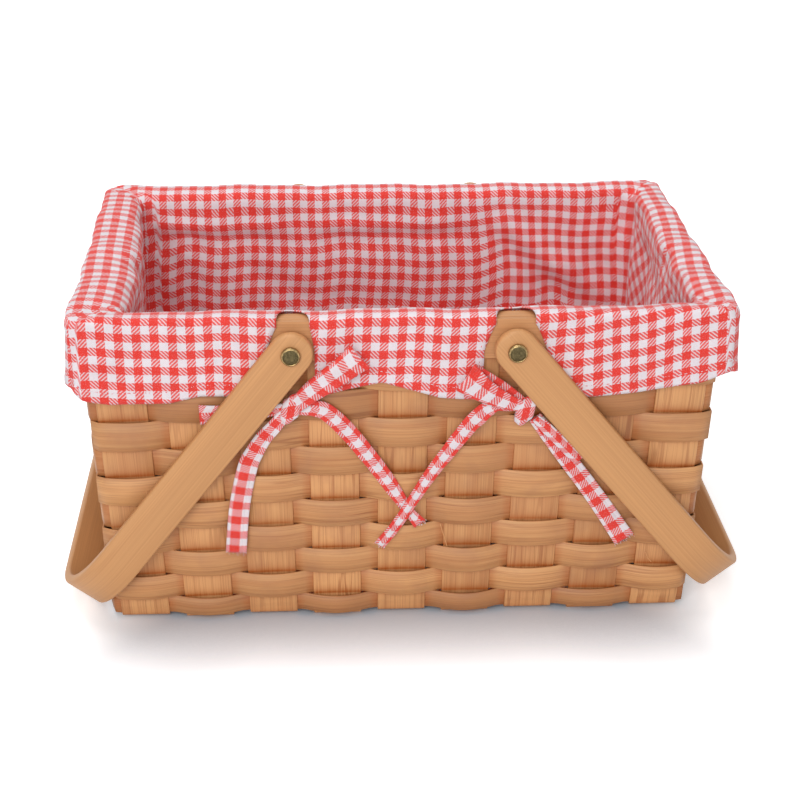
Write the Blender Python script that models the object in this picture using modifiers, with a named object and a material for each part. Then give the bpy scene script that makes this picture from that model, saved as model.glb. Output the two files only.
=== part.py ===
"""Pie basket: plaited woodchip walls, two swing-down handles and a checked cloth liner.

Metres, +Z up. The origin is the middle of the base on the table, +X runs along the basket,
and -Y is the front. Handles hang down over the ends.
"""

import math
from collections import namedtuple

import bmesh
import bpy
from mathutils import Matrix, Vector

# Basket body. Lengths and depths are measured on the middle plane of the upright stakes.
BASE_LENGTH = 0.349
BASE_DEPTH = 0.223
LENGTH_FLARE_SHARE = 0.045
DEPTH_FLARE_SHARE = 0.030
RIM_TOP = 0.1975
RIM_HEIGHT = 0.0241
WOOD_GAP = 0.0003

# Stakes, the flat splints that run under the basket and up two walls.
STAKE_WIDTH = 0.0288
STAKE_THICKNESS = 0.0012
CROSS_STAKES = 9
LONG_STAKES = 5
CROSS_END_MARGIN = 0.0045
LONG_END_MARGIN = 0.0125
STAKE_BEND_RADIUS = 0.0015
STAKE_BEND_STEPS = 3
STAKE_TOP_SETBACK = 0.0008
LEAST_MITRE = 0.5

# Weavers, the rings plaited round the stakes. The lower rows are beaten down tighter and bulge more.
WEAVER_ROWS = 10
WEAVER_THICKNESS = 0.0011
ROW_GROWTH_SHARE = 0.0244
ROW_GAP = 0.0005
WEAVER_EDGE_CLEARANCE = 0.0005
WEAVER_TOP_BULGE = 0.0012
WEAVER_FOOT_BULGE = 0.0026
CORNER_STEPS = 3

# Rim, a thin band outside the stakes and thick battens inside them.
OUTER_RIM_THICKNESS = 0.0020
BATTEN_THICKNESS = 0.0090
BATTEN_EDGE_BEVEL = 0.0008

# Handles, each a flat bar bent into a U, hinged on two bolts. At rest they hang just off the table.
PIVOT_SPACING = 0.128
PIVOT_RISE_SHARE = 0.2863
HANDLE_WIDTH = 0.0252
HANDLE_THICKNESS = 0.0060
HANDLE_REACH = 0.2180
HANDLE_BEND_RADIUS = 0.0500
HANDLE_EDGE_CHAMFER = 0.0014
HANDLE_BEND_STEPS = 9
HANDLE_END_STEPS = 5
HANDLE_END_SWEEP = math.radians(76.0)
HANDLE_BACK_END = 0.0070
LEFT_HANDLE_TABLE_GAP = 0.00076
RIGHT_HANDLE_TABLE_GAP = 0.00475
HANDLE_CORNER_GAP = 0.0022

# Bolts, washers and cap nuts at the hinges.
BOLT_SHANK_DIAMETER = 0.0050
BOLT_HEAD_DIAMETER = 0.0112
BOLT_HEAD_HEIGHT = 0.0026
BOLT_HEAD_CHAMFER = 0.0009
BOLT_RUNNING_CLEARANCE = 0.0003
WASHER_DIAMETER = 0.0180
WASHER_THICKNESS = 0.0020
NUT_DIAMETER = 0.0105
NUT_HEIGHT = 0.0030
NUT_FLOOR = 0.0008
BOLT_SIDES = 16
HARDWARE_SIDES = 12

# Liner, a cloth bag whose top folds over the rim and hangs outside as a skirt.
CLOTH_THICKNESS = 0.0008
LINER_NUT_CLEARANCE = 0.0009
LINER_INNER_CORNER = 0.0120
LINER_SKIRT_CORNER = 0.0070
SKIRT_DROP = 0.0470
SKIRT_PEAK = 0.0080
SLIT_TOP_WIDTH = 0.0210
SLIT_HEM_WIDTH = 0.0330
CREST_RISE = 0.0012
WALL_FOLD = 0.0030
SKIRT_FOLD = 0.0006
END_SKIRT_FOLD = 0.0022
LINER_CORNER_STEPS = 3
LINER_FLOOR_INSET = 0.0016
LINER_SHOULDER = 0.0030
LINER_WALL_SHARES = (0.25, 0.5, 0.75, 1.0)
LINER_SKIRT_SHARES = (0.12, 0.5, 1.0)
WALL_FOLD_LENGTH = 0.110
SKIRT_FOLD_LENGTH = 0.090
WALL_CREASES = 1.5
SKIRT_FOLD_PHASE = 1.0
HEM_CORNER_START = 1.75
HEM_CORNER_SLOPE = 4.0
LONG_SIDE_START = 0.9
SIDE_PANEL_STEPS = 3
MIDDLE_PANEL_STEPS = 5
END_STEPS = 5

# Ties, flat tubes of the same cloth knotted under each bolt.
TIE_WIDTH = 0.0105
TIE_THICKNESS = 0.0012
TIE_KNOT_WIDTH = 0.0135
TIE_KNOT_HEIGHT = 0.0125
TIE_KNOT_DEPTH = 0.0060
TIE_KNOT_SIDES = 10
TIE_KNOT_BANDS = 6
TIE_ROUTE_STEPS = 2

# Routes of the ties: across and up from the knot in shares of TIE_SPAN, and out from the weaving
# in shares of the tape's thickness.
TIE_SPAN = 0.100
LEFT_KNOT_ACROSS = -0.0005
LEFT_KNOT_LIFT = 0.0005
RIGHT_KNOT_ACROSS = 0.0048
RIGHT_KNOT_LIFT = -0.0034
KNOT_LAYER_SHARE = 2.75
LEFT_TAIL_SHARES = (
    (
        (-0.015, -0.005, 2.50),
        (-0.075, -0.085, 1.83),
        (-0.171, -0.208, 1.00),
        (-0.258, -0.401, 0.75),
        (-0.313, -0.664, 0.75),
        (-0.341, -0.969, 0.75),
    ),
    (
        (0.025, -0.005, 2.50),
        (0.222, -0.055, 1.33),
        (0.365, -0.218, 0.83),
        (0.539, -0.470, 0.67),
        (0.748, -0.790, 0.67),
    ),
    (
        (-0.025, -0.010, 2.33),
        (-0.115, -0.020, 1.13),
        (-0.295, -0.033, 1.04),
        (-0.495, -0.050, 1.04),
    ),
)
LEFT_LOOP_SHARES = (
    (
        (0.005, 0.015, 2.50),
        (0.125, 0.110, 2.58),
        (0.275, 0.235, 2.42),
        (0.390, 0.335, 2.83),
        (0.415, 0.355, 4.00),
        (0.375, 0.325, 5.08),
        (0.255, 0.215, 5.33),
        (0.115, 0.100, 4.50),
        (0.005, 0.015, 3.50),
    ),
)
RIGHT_TAIL_SHARES = (
    (
        (0.012, -0.005, 2.50),
        (0.082, -0.075, 1.67),
        (0.229, -0.267, 1.00),
        (0.420, -0.536, 0.75),
        (0.651, -0.882, 0.75),
    ),
    (
        (-0.018, 0.005, 2.83),
        (-0.206, 0.000, 2.50),
        (-0.331, -0.126, 2.33),
        (-0.530, -0.416, 2.25),
        (-0.704, -0.713, 2.25),
        (-0.822, -0.881, 1.83),
    ),
)
RIGHT_LOOP_SHARES = (
    (
        (-0.018, 0.015, 2.50),
        (-0.128, 0.085, 2.58),
        (-0.268, 0.175, 2.42),
        (-0.358, 0.235, 2.83),
        (-0.383, 0.245, 3.92),
        (-0.358, 0.225, 5.00),
        (-0.248, 0.135, 5.25),
        (-0.118, 0.055, 4.33),
        (-0.018, 0.015, 3.50),
    ),
)

# Modelling distances, not sizes of the basket.
CUT_OVERRUN = 0.002
MERGE_DISTANCE = 0.00001


def clear_scene():
    """Remove every object, and make one collection for the parts and one for the cutters."""
    for obj in list(bpy.data.objects):
        bpy.data.objects.remove(obj, do_unlink=True)
    parts = bpy.data.collections.new("pie_basket")
    cutters = bpy.data.collections.new("cutters")
    for collection in (parts, cutters):
        bpy.context.scene.collection.children.link(collection)
    return parts, cutters


PARTS, CUTTERS = clear_scene()


def material(name, colour, roughness, metallic=0.0):
    made = bpy.data.materials.new(name)
    made.use_nodes = True
    shader = made.node_tree.nodes["Principled BSDF"]
    shader.inputs["Base Color"].default_value = (*colour, 1.0)
    shader.inputs["Roughness"].default_value = roughness
    shader.inputs["Metallic"].default_value = metallic
    return made


SPLINT = material("woodchip_splint", (0.62, 0.36, 0.17), 0.60)
RIM_WOOD = material("rim_wood", (0.58, 0.33, 0.15), 0.55)
HANDLE_WOOD = material("handle_wood", (0.66, 0.42, 0.21), 0.45)
BRASS = material("aged_brass", (0.36, 0.29, 0.15), 0.35, 1.0)
CHECKED_CLOTH = material("checked_cloth", (0.80, 0.20, 0.18), 0.90)


def rim_bottom():
    """Height of the lower edge of the rim, just above the last row of weaving."""
    return RIM_TOP - RIM_HEIGHT


def pivot_height():
    """Height of the hinge line, in the lower part of the rim."""
    return rim_bottom() + PIVOT_RISE_SHARE * RIM_HEIGHT


def row_height(row):
    """Height of the upper boundary of a row, counted from 1 at the bottom: the rows fill the wall."""
    return (rim_bottom() - WOOD_GAP) * row_sum(row) / row_sum(WEAVER_ROWS)


def row_sum(row):
    """Height of the rows up to this one, in heights of the first row."""
    return row + ROW_GROWTH_SHARE * row * (row - 1) / 2


def weaver_bulge(z):
    """How far the middle of an outside span of weaver stands off its stake."""
    share = min(z / rim_bottom(), 1)
    return WEAVER_FOOT_BULGE + (WEAVER_TOP_BULGE - WEAVER_FOOT_BULGE) * share


def weave_outer_offset(z):
    """Distance from the stakes' middle plane to the outermost face of the weaving."""
    return weave_offset() + WEAVER_THICKNESS / 2 + weaver_bulge(z)


def half_length(z):
    """Half the length of the wall's middle plane: it flares up to the rim, then stands straight."""
    return BASE_LENGTH / 2 + LENGTH_FLARE_SHARE * min(z, rim_bottom())


def half_depth(z):
    return BASE_DEPTH / 2 + DEPTH_FLARE_SHARE * min(z, rim_bottom())


def cross_stake_place(index):
    """X of a cross stake at the base, counted from 1 at the left."""
    pitch = (BASE_LENGTH - 2 * CROSS_END_MARGIN - STAKE_WIDTH) / (CROSS_STAKES - 1)
    return (index - (CROSS_STAKES + 1) / 2) * pitch


def long_stake_place(index):
    """Y of a long stake at the base, counted from 1 at the front."""
    pitch = (BASE_DEPTH - 2 * LONG_END_MARGIN - STAKE_WIDTH) / (LONG_STAKES - 1)
    return (index - (LONG_STAKES + 1) / 2) * pitch


def spread_x(place, z):
    return place * half_length(z) / half_length(0)


def spread_y(place, z):
    return place * half_depth(z) / half_depth(0)


def low_level():
    """Height of the middle of a splint that lies on the table."""
    return STAKE_THICKNESS / 2


def high_level():
    """Height of the middle of a splint that lies on another."""
    return low_level() + STAKE_THICKNESS + WOOD_GAP


def weave_offset():
    """Distance between the middle planes of a stake and of a weaver lying flat against it."""
    return (STAKE_THICKNESS + WEAVER_THICKNESS) / 2 + WOOD_GAP


def rim_inner_offset():
    return STAKE_THICKNESS / 2 + WOOD_GAP


def rim_outer_offset():
    return rim_inner_offset() + OUTER_RIM_THICKNESS


def batten_inner_offset():
    return rim_inner_offset() + BATTEN_THICKNESS


def hinge_depth():
    """Distance from the basket's middle to the outer face of the rim band at the hinges."""
    return half_depth(pivot_height()) + rim_outer_offset()


def handle_inner_half():
    """Distance from the basket's middle to the inner face of a handle leg."""
    return hinge_depth() + WASHER_THICKNESS + 2 * WOOD_GAP


def loft(name, sections, look, closed=False):
    """A solid through rings of equal point count, capped at both ends unless it closes on itself."""
    mesh = bmesh.new()
    rings = [[mesh.verts.new(point) for point in section] for section in sections]
    pairs = list(zip(rings, rings[1:]))
    if closed:
        pairs.append((rings[-1], rings[0]))
    for first, second in pairs:
        count = len(first)
        for index in range(count):
            following = (index + 1) % count
            mesh.faces.new((first[index], first[following], second[following], second[index]))
    if not closed:
        mesh.faces.new(list(reversed(rings[0])))
        mesh.faces.new(rings[-1])
    bmesh.ops.recalc_face_normals(mesh, faces=mesh.faces)
    data = bpy.data.meshes.new(name)
    mesh.to_mesh(data)
    mesh.free()
    return place_object(name, data, look)


def place_object(name, data, look, collection=None):
    obj = bpy.data.objects.new(name, data)
    data.materials.append(look)
    (collection or PARTS).objects.link(obj)
    return obj


def shade_smooth(obj, sharp_degrees=35.0):
    obj.data.shade_smooth()
    obj.data.set_sharp_from_angle(angle=math.radians(sharp_degrees))


def stake_profile(places, levels, reach, top):
    """Middle line of a stake in its own plane, as (along, height) from one top end to the other.

    places and levels give the over and under of the bottom, reach(z) the wall plane at a height.
    """
    points = []
    radius = STAKE_BEND_RADIUS
    for side, level in ((-1, levels[0]), (1, levels[-1])):
        rise = [(side * reach(top), top), (side * reach(rim_bottom()), rim_bottom())]
        wall = reach(level + radius)
        bend = []
        for step in range(STAKE_BEND_STEPS + 1):
            angle = step / STAKE_BEND_STEPS * math.pi / 2
            along = side * (wall - radius + radius * math.cos(angle))
            bend.append((along, level + radius - radius * math.sin(angle)))
        run = rise + bend
        points.append(run if side < 0 else run[::-1])
    bottom = []
    for place, level in zip(places, levels):
        edge = STAKE_WIDTH / 2 + WEAVER_EDGE_CLEARANCE
        bottom += [(place - edge, level), (place + edge, level)]
    first, last = points
    return first + bottom[1:-1] + last


def strip_normals(line):
    """Unit normals of an open line of 2D points, mitred at its corners."""
    normals = []
    count = len(line)
    for index in range(count):
        total = Vector((0.0, 0.0))
        parts = []
        for start, end in ((index - 1, index), (index, index + 1)):
            if start < 0 or end >= count:
                continue
            step = Vector(line[end]) - Vector(line[start])
            parts.append(Vector((-step.y, step.x)).normalized())
        for part in parts:
            total += part
        total.normalize()
        normals.append(total / max(total.dot(parts[0]), LEAST_MITRE))
    return normals


def build_stake(name, place, spread, along_axis, places, levels, reach):
    top = RIM_TOP - STAKE_TOP_SETBACK
    line = stake_profile(places, levels, reach, top)
    sections = []
    for (along, height), normal in zip(line, strip_normals(line)):
        section = []
        for across_sign, thick_sign in ((-1, -1), (1, -1), (1, 1), (-1, 1)):
            across = spread(place, height) + across_sign * STAKE_WIDTH / 2
            offset = thick_sign * STAKE_THICKNESS / 2
            point_along = along + normal.x * offset
            point_height = height + normal.y * offset
            if along_axis == "Y":
                section.append(Vector((across, point_along, point_height)))
            else:
                section.append(Vector((point_along, across, point_height)))
        sections.append(section)
    return loft(name, sections, SPLINT)


def cross_is_upper(cross, long):
    return (cross + long) % 2 == 0


def build_stakes():
    """The two sets of U-shaped splints, plaited over and under each other at the bottom."""
    stakes = {}
    long_places = [long_stake_place(index) for index in range(1, LONG_STAKES + 1)]
    cross_places = [cross_stake_place(index) for index in range(1, CROSS_STAKES + 1)]
    for cross, place in enumerate(cross_places, 1):
        levels = [
            high_level() if cross_is_upper(cross, long) else low_level()
            for long in range(1, LONG_STAKES + 1)
        ]
        stakes[cross] = build_stake(
            f"cross_stake_{cross}", place, spread_x, "Y", long_places, levels, half_depth
        )
    for long, place in enumerate(long_places, 1):
        levels = [
            low_level() if cross_is_upper(cross, long) else high_level()
            for cross in range(1, CROSS_STAKES + 1)
        ]
        build_stake(
            f"long_stake_{long}", place, spread_y, "X", cross_places, levels, half_length
        )
    return stakes


Station = namedtuple("Station", "wall place shift angle offset bulges")

# Walls and the corners after them, counter-clockwise from above, with the direction of travel.
WALLS = (("front", 1), ("right", 1), ("back", -1), ("left", -1))
CORNER_AFTER = {"front": (1, -1), "right": (1, 1), "back": (-1, 1), "left": (-1, -1)}


def wall_point(wall, along, z, offset):
    """A point on one of the four walls, at a place along it and a distance out of its plane."""
    if wall == "front":
        return Vector((along, -half_depth(z) - offset, z))
    if wall == "back":
        return Vector((along, half_depth(z) + offset, z))
    if wall == "left":
        return Vector((-half_length(z) - offset, along, z))
    return Vector((half_length(z) + offset, along, z))


def corner_point(corner, angle, z, offset):
    """A point on the rounded corner between the last cross stake and the last long stake."""
    sign_x, sign_y = corner
    point = Vector((half_length(z) - CROSS_END_MARGIN, half_depth(z) - LONG_END_MARGIN))
    point += Vector((CROSS_END_MARGIN * math.cos(angle), LONG_END_MARGIN * math.sin(angle)))
    normal = Vector((math.cos(angle) / CROSS_END_MARGIN, math.sin(angle) / LONG_END_MARGIN))
    point += normal.normalized() * offset
    return Vector((sign_x * point.x, sign_y * point.y, z))


def corner_angles(wall, inner_only=True):
    """Angles round the corner after a wall: the front and back walls arrive at 90 degrees."""
    first, last = (1, CORNER_STEPS) if inner_only else (0, CORNER_STEPS + 1)
    angles = [math.pi / 2 * step / (CORNER_STEPS + 1) for step in range(first, last + 1)]
    return angles[::-1] if wall in ("front", "back") else angles


def station_point(station, z, extra):
    offset = station.offset + extra
    if station.bulges:
        offset += weaver_bulge(z)
    if station.angle is not None:
        return corner_point(CORNER_AFTER[station.wall], station.angle, z, offset)
    spread = spread_x if station.wall in ("front", "back") else spread_y
    return wall_point(station.wall, spread(station.place, z) + station.shift, z, offset)


def wall_stakes(wall, direction):
    if wall in ("front", "back"):
        places = [cross_stake_place(index) for index in range(1, CROSS_STAKES + 1)]
    else:
        places = [long_stake_place(index) for index in range(1, LONG_STAKES + 1)]
    return places[::direction]


def weaver_stations(row):
    """Stations of one ring: it passes outside every second upright and inside the others."""
    edge = STAKE_WIDTH / 2 + WEAVER_EDGE_CLEARANCE
    out = weave_offset()
    stations = []
    upright = 0
    for wall, direction in WALLS:
        for place in wall_stakes(wall, direction):
            upright += 1
            outside = (upright + row) % 2 == 1
            side = out if outside else -out
            stations.append(Station(wall, place, -direction * edge, None, side, False))
            if outside:
                stations.append(Station(wall, place, 0, None, out, True))
            stations.append(Station(wall, place, direction * edge, None, side, False))
        for step, angle in enumerate(corner_angles(wall), 1):
            share = step / (CORNER_STEPS + 1)
            stations.append(Station(wall, 0, 0, angle, side * (1 - 2 * share), False))
    return stations


def ring_solid(name, stations, z_low, z_high, thickness, look):
    """A closed band of even thickness that follows the stations and the flare of the walls."""
    half = thickness / 2
    sections = []
    for station in stations:
        sections.append(
            [
                station_point(station, z_low, -half),
                station_point(station, z_low, half),
                station_point(station, z_high, half),
                station_point(station, z_high, -half),
            ]
        )
    return loft(name, sections, look, closed=True)


def build_weavers():
    """The rings of plaiting. The first one starts above the bends of the stakes."""
    bends_end = high_level() + STAKE_BEND_RADIUS + WOOD_GAP / 2
    for row in range(1, WEAVER_ROWS + 1):
        z_low = max(row_height(row - 1), bends_end) + ROW_GAP / 2
        z_high = row_height(row) - ROW_GAP / 2
        ring_solid(f"weaver_{row:02d}", weaver_stations(row), z_low, z_high, WEAVER_THICKNESS, SPLINT)


def build_outer_rim():
    middle = rim_inner_offset() + OUTER_RIM_THICKNESS / 2
    stations = []
    for wall, _ in WALLS:
        for angle in corner_angles(wall, inner_only=False):
            stations.append(Station(wall, 0, 0, angle, middle, False))
    return ring_solid("outer_rim", stations, rim_bottom(), RIM_TOP, OUTER_RIM_THICKNESS, RIM_WOOD)


def box(name, size, centre, look, bevel):
    """A bar with eased edges."""
    mesh = bmesh.new()
    bmesh.ops.create_cube(mesh, size=1)
    bmesh.ops.scale(mesh, verts=mesh.verts, vec=size)
    data = bpy.data.meshes.new(name)
    mesh.to_mesh(data)
    mesh.free()
    obj = place_object(name, data, look)
    obj.location = centre
    rounding = obj.modifiers.new("edges", "BEVEL")
    rounding.width = bevel
    rounding.segments = 1
    rounding.limit_method = "ANGLE"
    return obj


def build_battens():
    """Four straight battens inside the stakes: the front and back ones carry the bolts."""
    rim = rim_bottom()
    height = RIM_TOP - rim
    middle_z = (RIM_TOP + rim) / 2
    middle_offset = rim_inner_offset() + BATTEN_THICKNESS / 2
    battens = []
    long_size = (2 * (half_length(rim) - CROSS_END_MARGIN), BATTEN_THICKNESS, height)
    end_length = 2 * (half_depth(rim) - batten_inner_offset() - WOOD_GAP)
    end_size = (BATTEN_THICKNESS, end_length, height)
    y = half_depth(rim) - middle_offset
    x = half_length(rim) - middle_offset
    for name, size, centre in (
        ("front_rim_batten", long_size, (0, -y, middle_z)),
        ("back_rim_batten", long_size, (0, y, middle_z)),
        ("left_rim_batten", end_size, (-x, 0, middle_z)),
        ("right_rim_batten", end_size, (x, 0, middle_z)),
    ):
        battens.append(box(name, size, centre, RIM_WOOD, BATTEN_EDGE_BEVEL))
    return battens


def handle_stations():
    """Stations of the U in its own plane: (place, direction of thickness, half width).

    The back leg runs a little further past its bolt than the front one.
    """
    half_across = handle_inner_half() + HANDLE_THICKNESS / 2
    reach = HANDLE_REACH - HANDLE_THICKNESS / 2
    radius = HANDLE_BEND_RADIUS - HANDLE_THICKNESS / 2
    end_radius = HANDLE_WIDTH / 2
    leg = []
    for step in range(HANDLE_END_STEPS, -1, -1):
        angle = HANDLE_END_SWEEP * step / HANDLE_END_STEPS
        place = Vector((-end_radius * math.sin(angle), -half_across))
        leg.append((place, Vector((0, -1)), end_radius * math.cos(angle)))
    for step in range(HANDLE_BEND_STEPS + 1):
        angle = math.pi / 2 * step / HANDLE_BEND_STEPS
        out = Vector((math.sin(angle), -math.cos(angle)))
        place = Vector((reach - radius, radius - half_across)) + out * radius
        leg.append((place, out, end_radius))
    back_leg = []
    for place, out, half_width in reversed(leg):
        longer = HANDLE_BACK_END if place.x <= 0 else 0
        mirrored = Vector((place.x - longer, -place.y))
        back_leg.append((mirrored, Vector((out.x, -out.y)), half_width))
    return leg + back_leg


def bend_reach(place):
    """Reach of the handle's inner face where it passes this far from the basket's middle."""
    inner_radius = HANDLE_BEND_RADIUS - HANDLE_THICKNESS
    into_bend = place - (handle_inner_half() - inner_radius)
    return HANDLE_REACH - HANDLE_BEND_RADIUS + math.sqrt(inner_radius**2 - into_bend**2)


def drop_beside(inner_reach, wall):
    """How far below level the bar can hang when its inner lower edge meets a flaring wall."""
    half = HANDLE_WIDTH / 2
    across = wall + LENGTH_FLARE_SHARE * pivot_height() - PIVOT_SPACING / 2
    nearest = math.hypot(inner_reach, half) * math.hypot(1, LENGTH_FLARE_SHARE)
    lean = math.atan(LENGTH_FLARE_SHARE) - math.atan2(half, inner_reach)
    return math.acos(min(across / nearest, 1)) + lean


def rest_drop(table_gap):
    """How far below level a handle hangs: to the table, or to the basket's end or its corners."""
    half = HANDLE_WIDTH / 2
    share = min((pivot_height() - table_gap) / math.hypot(HANDLE_REACH, half), 1)
    on_table = math.asin(share) - math.atan2(half, HANDLE_REACH)
    end = BASE_LENGTH / 2 + weave_outer_offset(0)
    on_end = drop_beside(HANDLE_REACH - HANDLE_THICKNESS, end)
    corner_y = half_depth(0) + weave_offset() + WEAVER_THICKNESS / 2
    on_corner = drop_beside(bend_reach(corner_y), BASE_LENGTH / 2 - CROSS_END_MARGIN + HANDLE_CORNER_GAP)
    return min(on_table, on_end, on_corner)


def build_handle(name, side, drop):
    """A bent bar. Its origin is on the hinge line, and its legs lie along the object's own X."""
    sections = []
    half = HANDLE_THICKNESS / 2
    for place, normal, half_width in handle_stations():
        chamfer = min(HANDLE_EDGE_CHAMFER, half_width / 2)
        section = []
        for width, thick in (
            (half_width, half - chamfer),
            (half_width - chamfer, half),
            (chamfer - half_width, half),
            (-half_width, half - chamfer),
            (-half_width, chamfer - half),
            (chamfer - half_width, -half),
            (half_width - chamfer, -half),
            (half_width, chamfer - half),
        ):
            point = place + normal * thick
            section.append(Vector((side * point.x, point.y, width)))
        sections.append(section)
    handle = loft(name, sections, HANDLE_WOOD)
    handle.location = (side * PIVOT_SPACING / 2, 0, pivot_height())
    handle.rotation_euler.y = side * drop
    return handle


def turned(name, profile, sides, look):
    """A solid of revolution: the profile is (radius, height) pairs, top to bottom on the outside."""
    data = bpy.data.meshes.new(name)
    closed = profile[0][0] > 0
    count = len(profile)
    edges = [(index, (index + 1) % count) for index in range(count if closed else count - 1)]
    data.from_pydata([(radius, 0, height) for radius, height in profile], edges, [])
    obj = place_object(name, data, look)
    turn = obj.modifiers.new("turn", "SCREW")
    turn.steps = sides
    turn.render_steps = sides
    turn.use_merge_vertices = True
    turn.merge_threshold = MERGE_DISTANCE
    turn.use_smooth_shade = False
    return obj


def seat_on_hinge(obj, side_x, side_y, depth, facing):
    """Stand a turned piece on the hinge line, its own +Z outward (1) or toward the basket (-1)."""
    obj.location = (side_x * PIVOT_SPACING / 2, side_y * depth, pivot_height())
    obj.rotation_euler.x = -side_y * facing * math.pi / 2


def build_hinge(corner_name, side_x, side_y):
    head_seat = handle_inner_half() + HANDLE_THICKNESS + WOOD_GAP
    nut_seat = half_depth(pivot_height()) - batten_inner_offset() - WOOD_GAP
    bore_depth = NUT_HEIGHT - NUT_FLOOR
    shank_length = head_seat - nut_seat + bore_depth - WOOD_GAP
    head = BOLT_HEAD_DIAMETER / 2
    shank = BOLT_SHANK_DIAMETER / 2
    bolt = turned(
        f"{corner_name}_bolt",
        (
            (0, BOLT_HEAD_HEIGHT),
            (head - BOLT_HEAD_CHAMFER, BOLT_HEAD_HEIGHT),
            (head, BOLT_HEAD_HEIGHT - BOLT_HEAD_CHAMFER),
            (head, 0),
            (shank, 0),
            (shank, -shank_length),
            (0, -shank_length),
        ),
        BOLT_SIDES,
        BRASS,
    )
    seat_on_hinge(bolt, side_x, side_y, head_seat, 1)
    bore = bore_radius()
    washer = turned(
        f"{corner_name}_washer",
        (
            (bore, WASHER_THICKNESS),
            (WASHER_DIAMETER / 2, WASHER_THICKNESS),
            (WASHER_DIAMETER / 2, 0),
            (bore, 0),
        ),
        HARDWARE_SIDES,
        BRASS,
    )
    seat_on_hinge(washer, side_x, side_y, hinge_depth() + WOOD_GAP, 1)
    nut = turned(
        f"{corner_name}_cap_nut",
        (
            (0, NUT_HEIGHT),
            (NUT_DIAMETER / 2, NUT_HEIGHT),
            (NUT_DIAMETER / 2, 0),
            (bore, 0),
            (bore, bore_depth),
            (0, bore_depth),
        ),
        HARDWARE_SIDES,
        BRASS,
    )
    seat_on_hinge(nut, side_x, side_y, nut_seat, -1)


def bore_radius():
    """Radius of the holes that the bolts pass through."""
    return BOLT_SHANK_DIAMETER / 2 + BOLT_RUNNING_CLEARANCE


def hinge_drill(name, side_x):
    """A round cutter along the hinge line, right through the basket."""
    radius = bore_radius()
    depth = 2 * (handle_inner_half() + HANDLE_THICKNESS + CUT_OVERRUN)
    mesh = bmesh.new()
    bmesh.ops.create_cone(
        mesh, cap_ends=True, segments=HARDWARE_SIDES, radius1=radius, radius2=radius, depth=depth
    )
    data = bpy.data.meshes.new(name)
    mesh.to_mesh(data)
    mesh.free()
    drill = place_object(name, data, BRASS, CUTTERS)
    drill.location = (side_x * PIVOT_SPACING / 2, 0, pivot_height())
    drill.rotation_euler.x = math.pi / 2
    hide_helper(drill)
    return drill


def hide_helper(obj):
    obj.hide_render = True
    obj.display_type = "WIRE"


def boolean(obj, other, operation):
    cut = obj.modifiers.new(other.name, "BOOLEAN")
    cut.operation = operation
    cut.solver = "EXACT"
    cut.object = other


Column = namedtuple("Column", "wall direction anchor share angle is_slit")
Row = namedtuple("Row", "offset height radius kind share")


def liner_columns():
    """Columns of the cloth in order round the basket, counter-clockwise from the front left."""
    columns = []
    for wall, direction in WALLS:
        steps = (SIDE_PANEL_STEPS, 1, MIDDLE_PANEL_STEPS, 1, SIDE_PANEL_STEPS)
        if wall in ("left", "right"):
            steps = (END_STEPS,)
        for anchor, count in enumerate(steps):
            slit = len(steps) > 1 and anchor in (1, 3)
            columns += [Column(wall, direction, anchor, step / count, None, slit) for step in range(count)]
        columns.append(Column(wall, direction, len(steps), 0, None, False))
        for step in range(1, LINER_CORNER_STEPS):
            angle = math.pi / 2 * step / LINER_CORNER_STEPS
            angle = math.pi / 2 - angle if wall in ("front", "back") else angle
            columns.append(Column(wall, direction, None, 0, angle, False))
    return columns


def slit_half_width(z):
    drop_share = min(max((RIM_TOP - z) / SKIRT_DROP, 0), 1)
    return (SLIT_TOP_WIDTH + (SLIT_HEM_WIDTH - SLIT_TOP_WIDTH) * drop_share) / 2


def liner_point(column, half_x, half_y, radius, z, outward):
    """A point of one liner row, moved outward from the row's rounded outline."""
    on_long_wall = column.wall in ("front", "back")
    if column.angle is not None:
        sign_x, sign_y = CORNER_AFTER[column.wall]
        reach = radius + outward
        x = half_x - radius + reach * math.cos(column.angle)
        y = half_y - radius + reach * math.sin(column.angle)
        return Vector((sign_x * x, sign_y * y, z))
    if on_long_wall:
        end = half_x - radius
        gap = slit_half_width(z)
        pivot = PIVOT_SPACING / 2
        anchors = (-end, -pivot - gap, -pivot + gap, pivot - gap, pivot + gap, end)
    else:
        end = half_y - radius
        anchors = (-end, end)
    anchors = anchors[:: column.direction]
    along = anchors[column.anchor]
    if column.share:
        along += (anchors[column.anchor + 1] - along) * column.share
    sign = -1 if column.wall in ("front", "left") else 1
    if on_long_wall:
        return Vector((along, sign * (half_y + outward), z))
    return Vector((sign * (half_x + outward), along, z))


def hem_height(point):
    """Height of the skirt's hem: it lifts in the middle of the long sides and at the corners."""
    share_x = abs(point.x) / (half_length(RIM_TOP) + rim_outer_offset())
    share_y = abs(point.y) / (half_depth(RIM_TOP) + rim_outer_offset())
    middle = 0
    if share_y > LONG_SIDE_START:
        middle = max(0, 1 - abs(point.x) / (PIVOT_SPACING / 2 - SLIT_HEM_WIDTH / 2))
    corner = min(max(0, share_x + share_y - HEM_CORNER_START) * HEM_CORNER_SLOPE, 1)
    return RIM_TOP - SKIRT_DROP + SKIRT_PEAK * (middle + corner)


def wall_fold(point, height_share):
    """How far the hanging cloth stands in from its flat wall: upright folds over a cross crease."""
    upright = math.sin((2 * point.x + point.y) * math.pi / WALL_FOLD_LENGTH)
    crease = math.sin(height_share * math.tau * WALL_CREASES)
    swell = math.sin(math.pi * height_share)
    return -WALL_FOLD * swell * (2 + upright + crease) / 4


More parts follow.
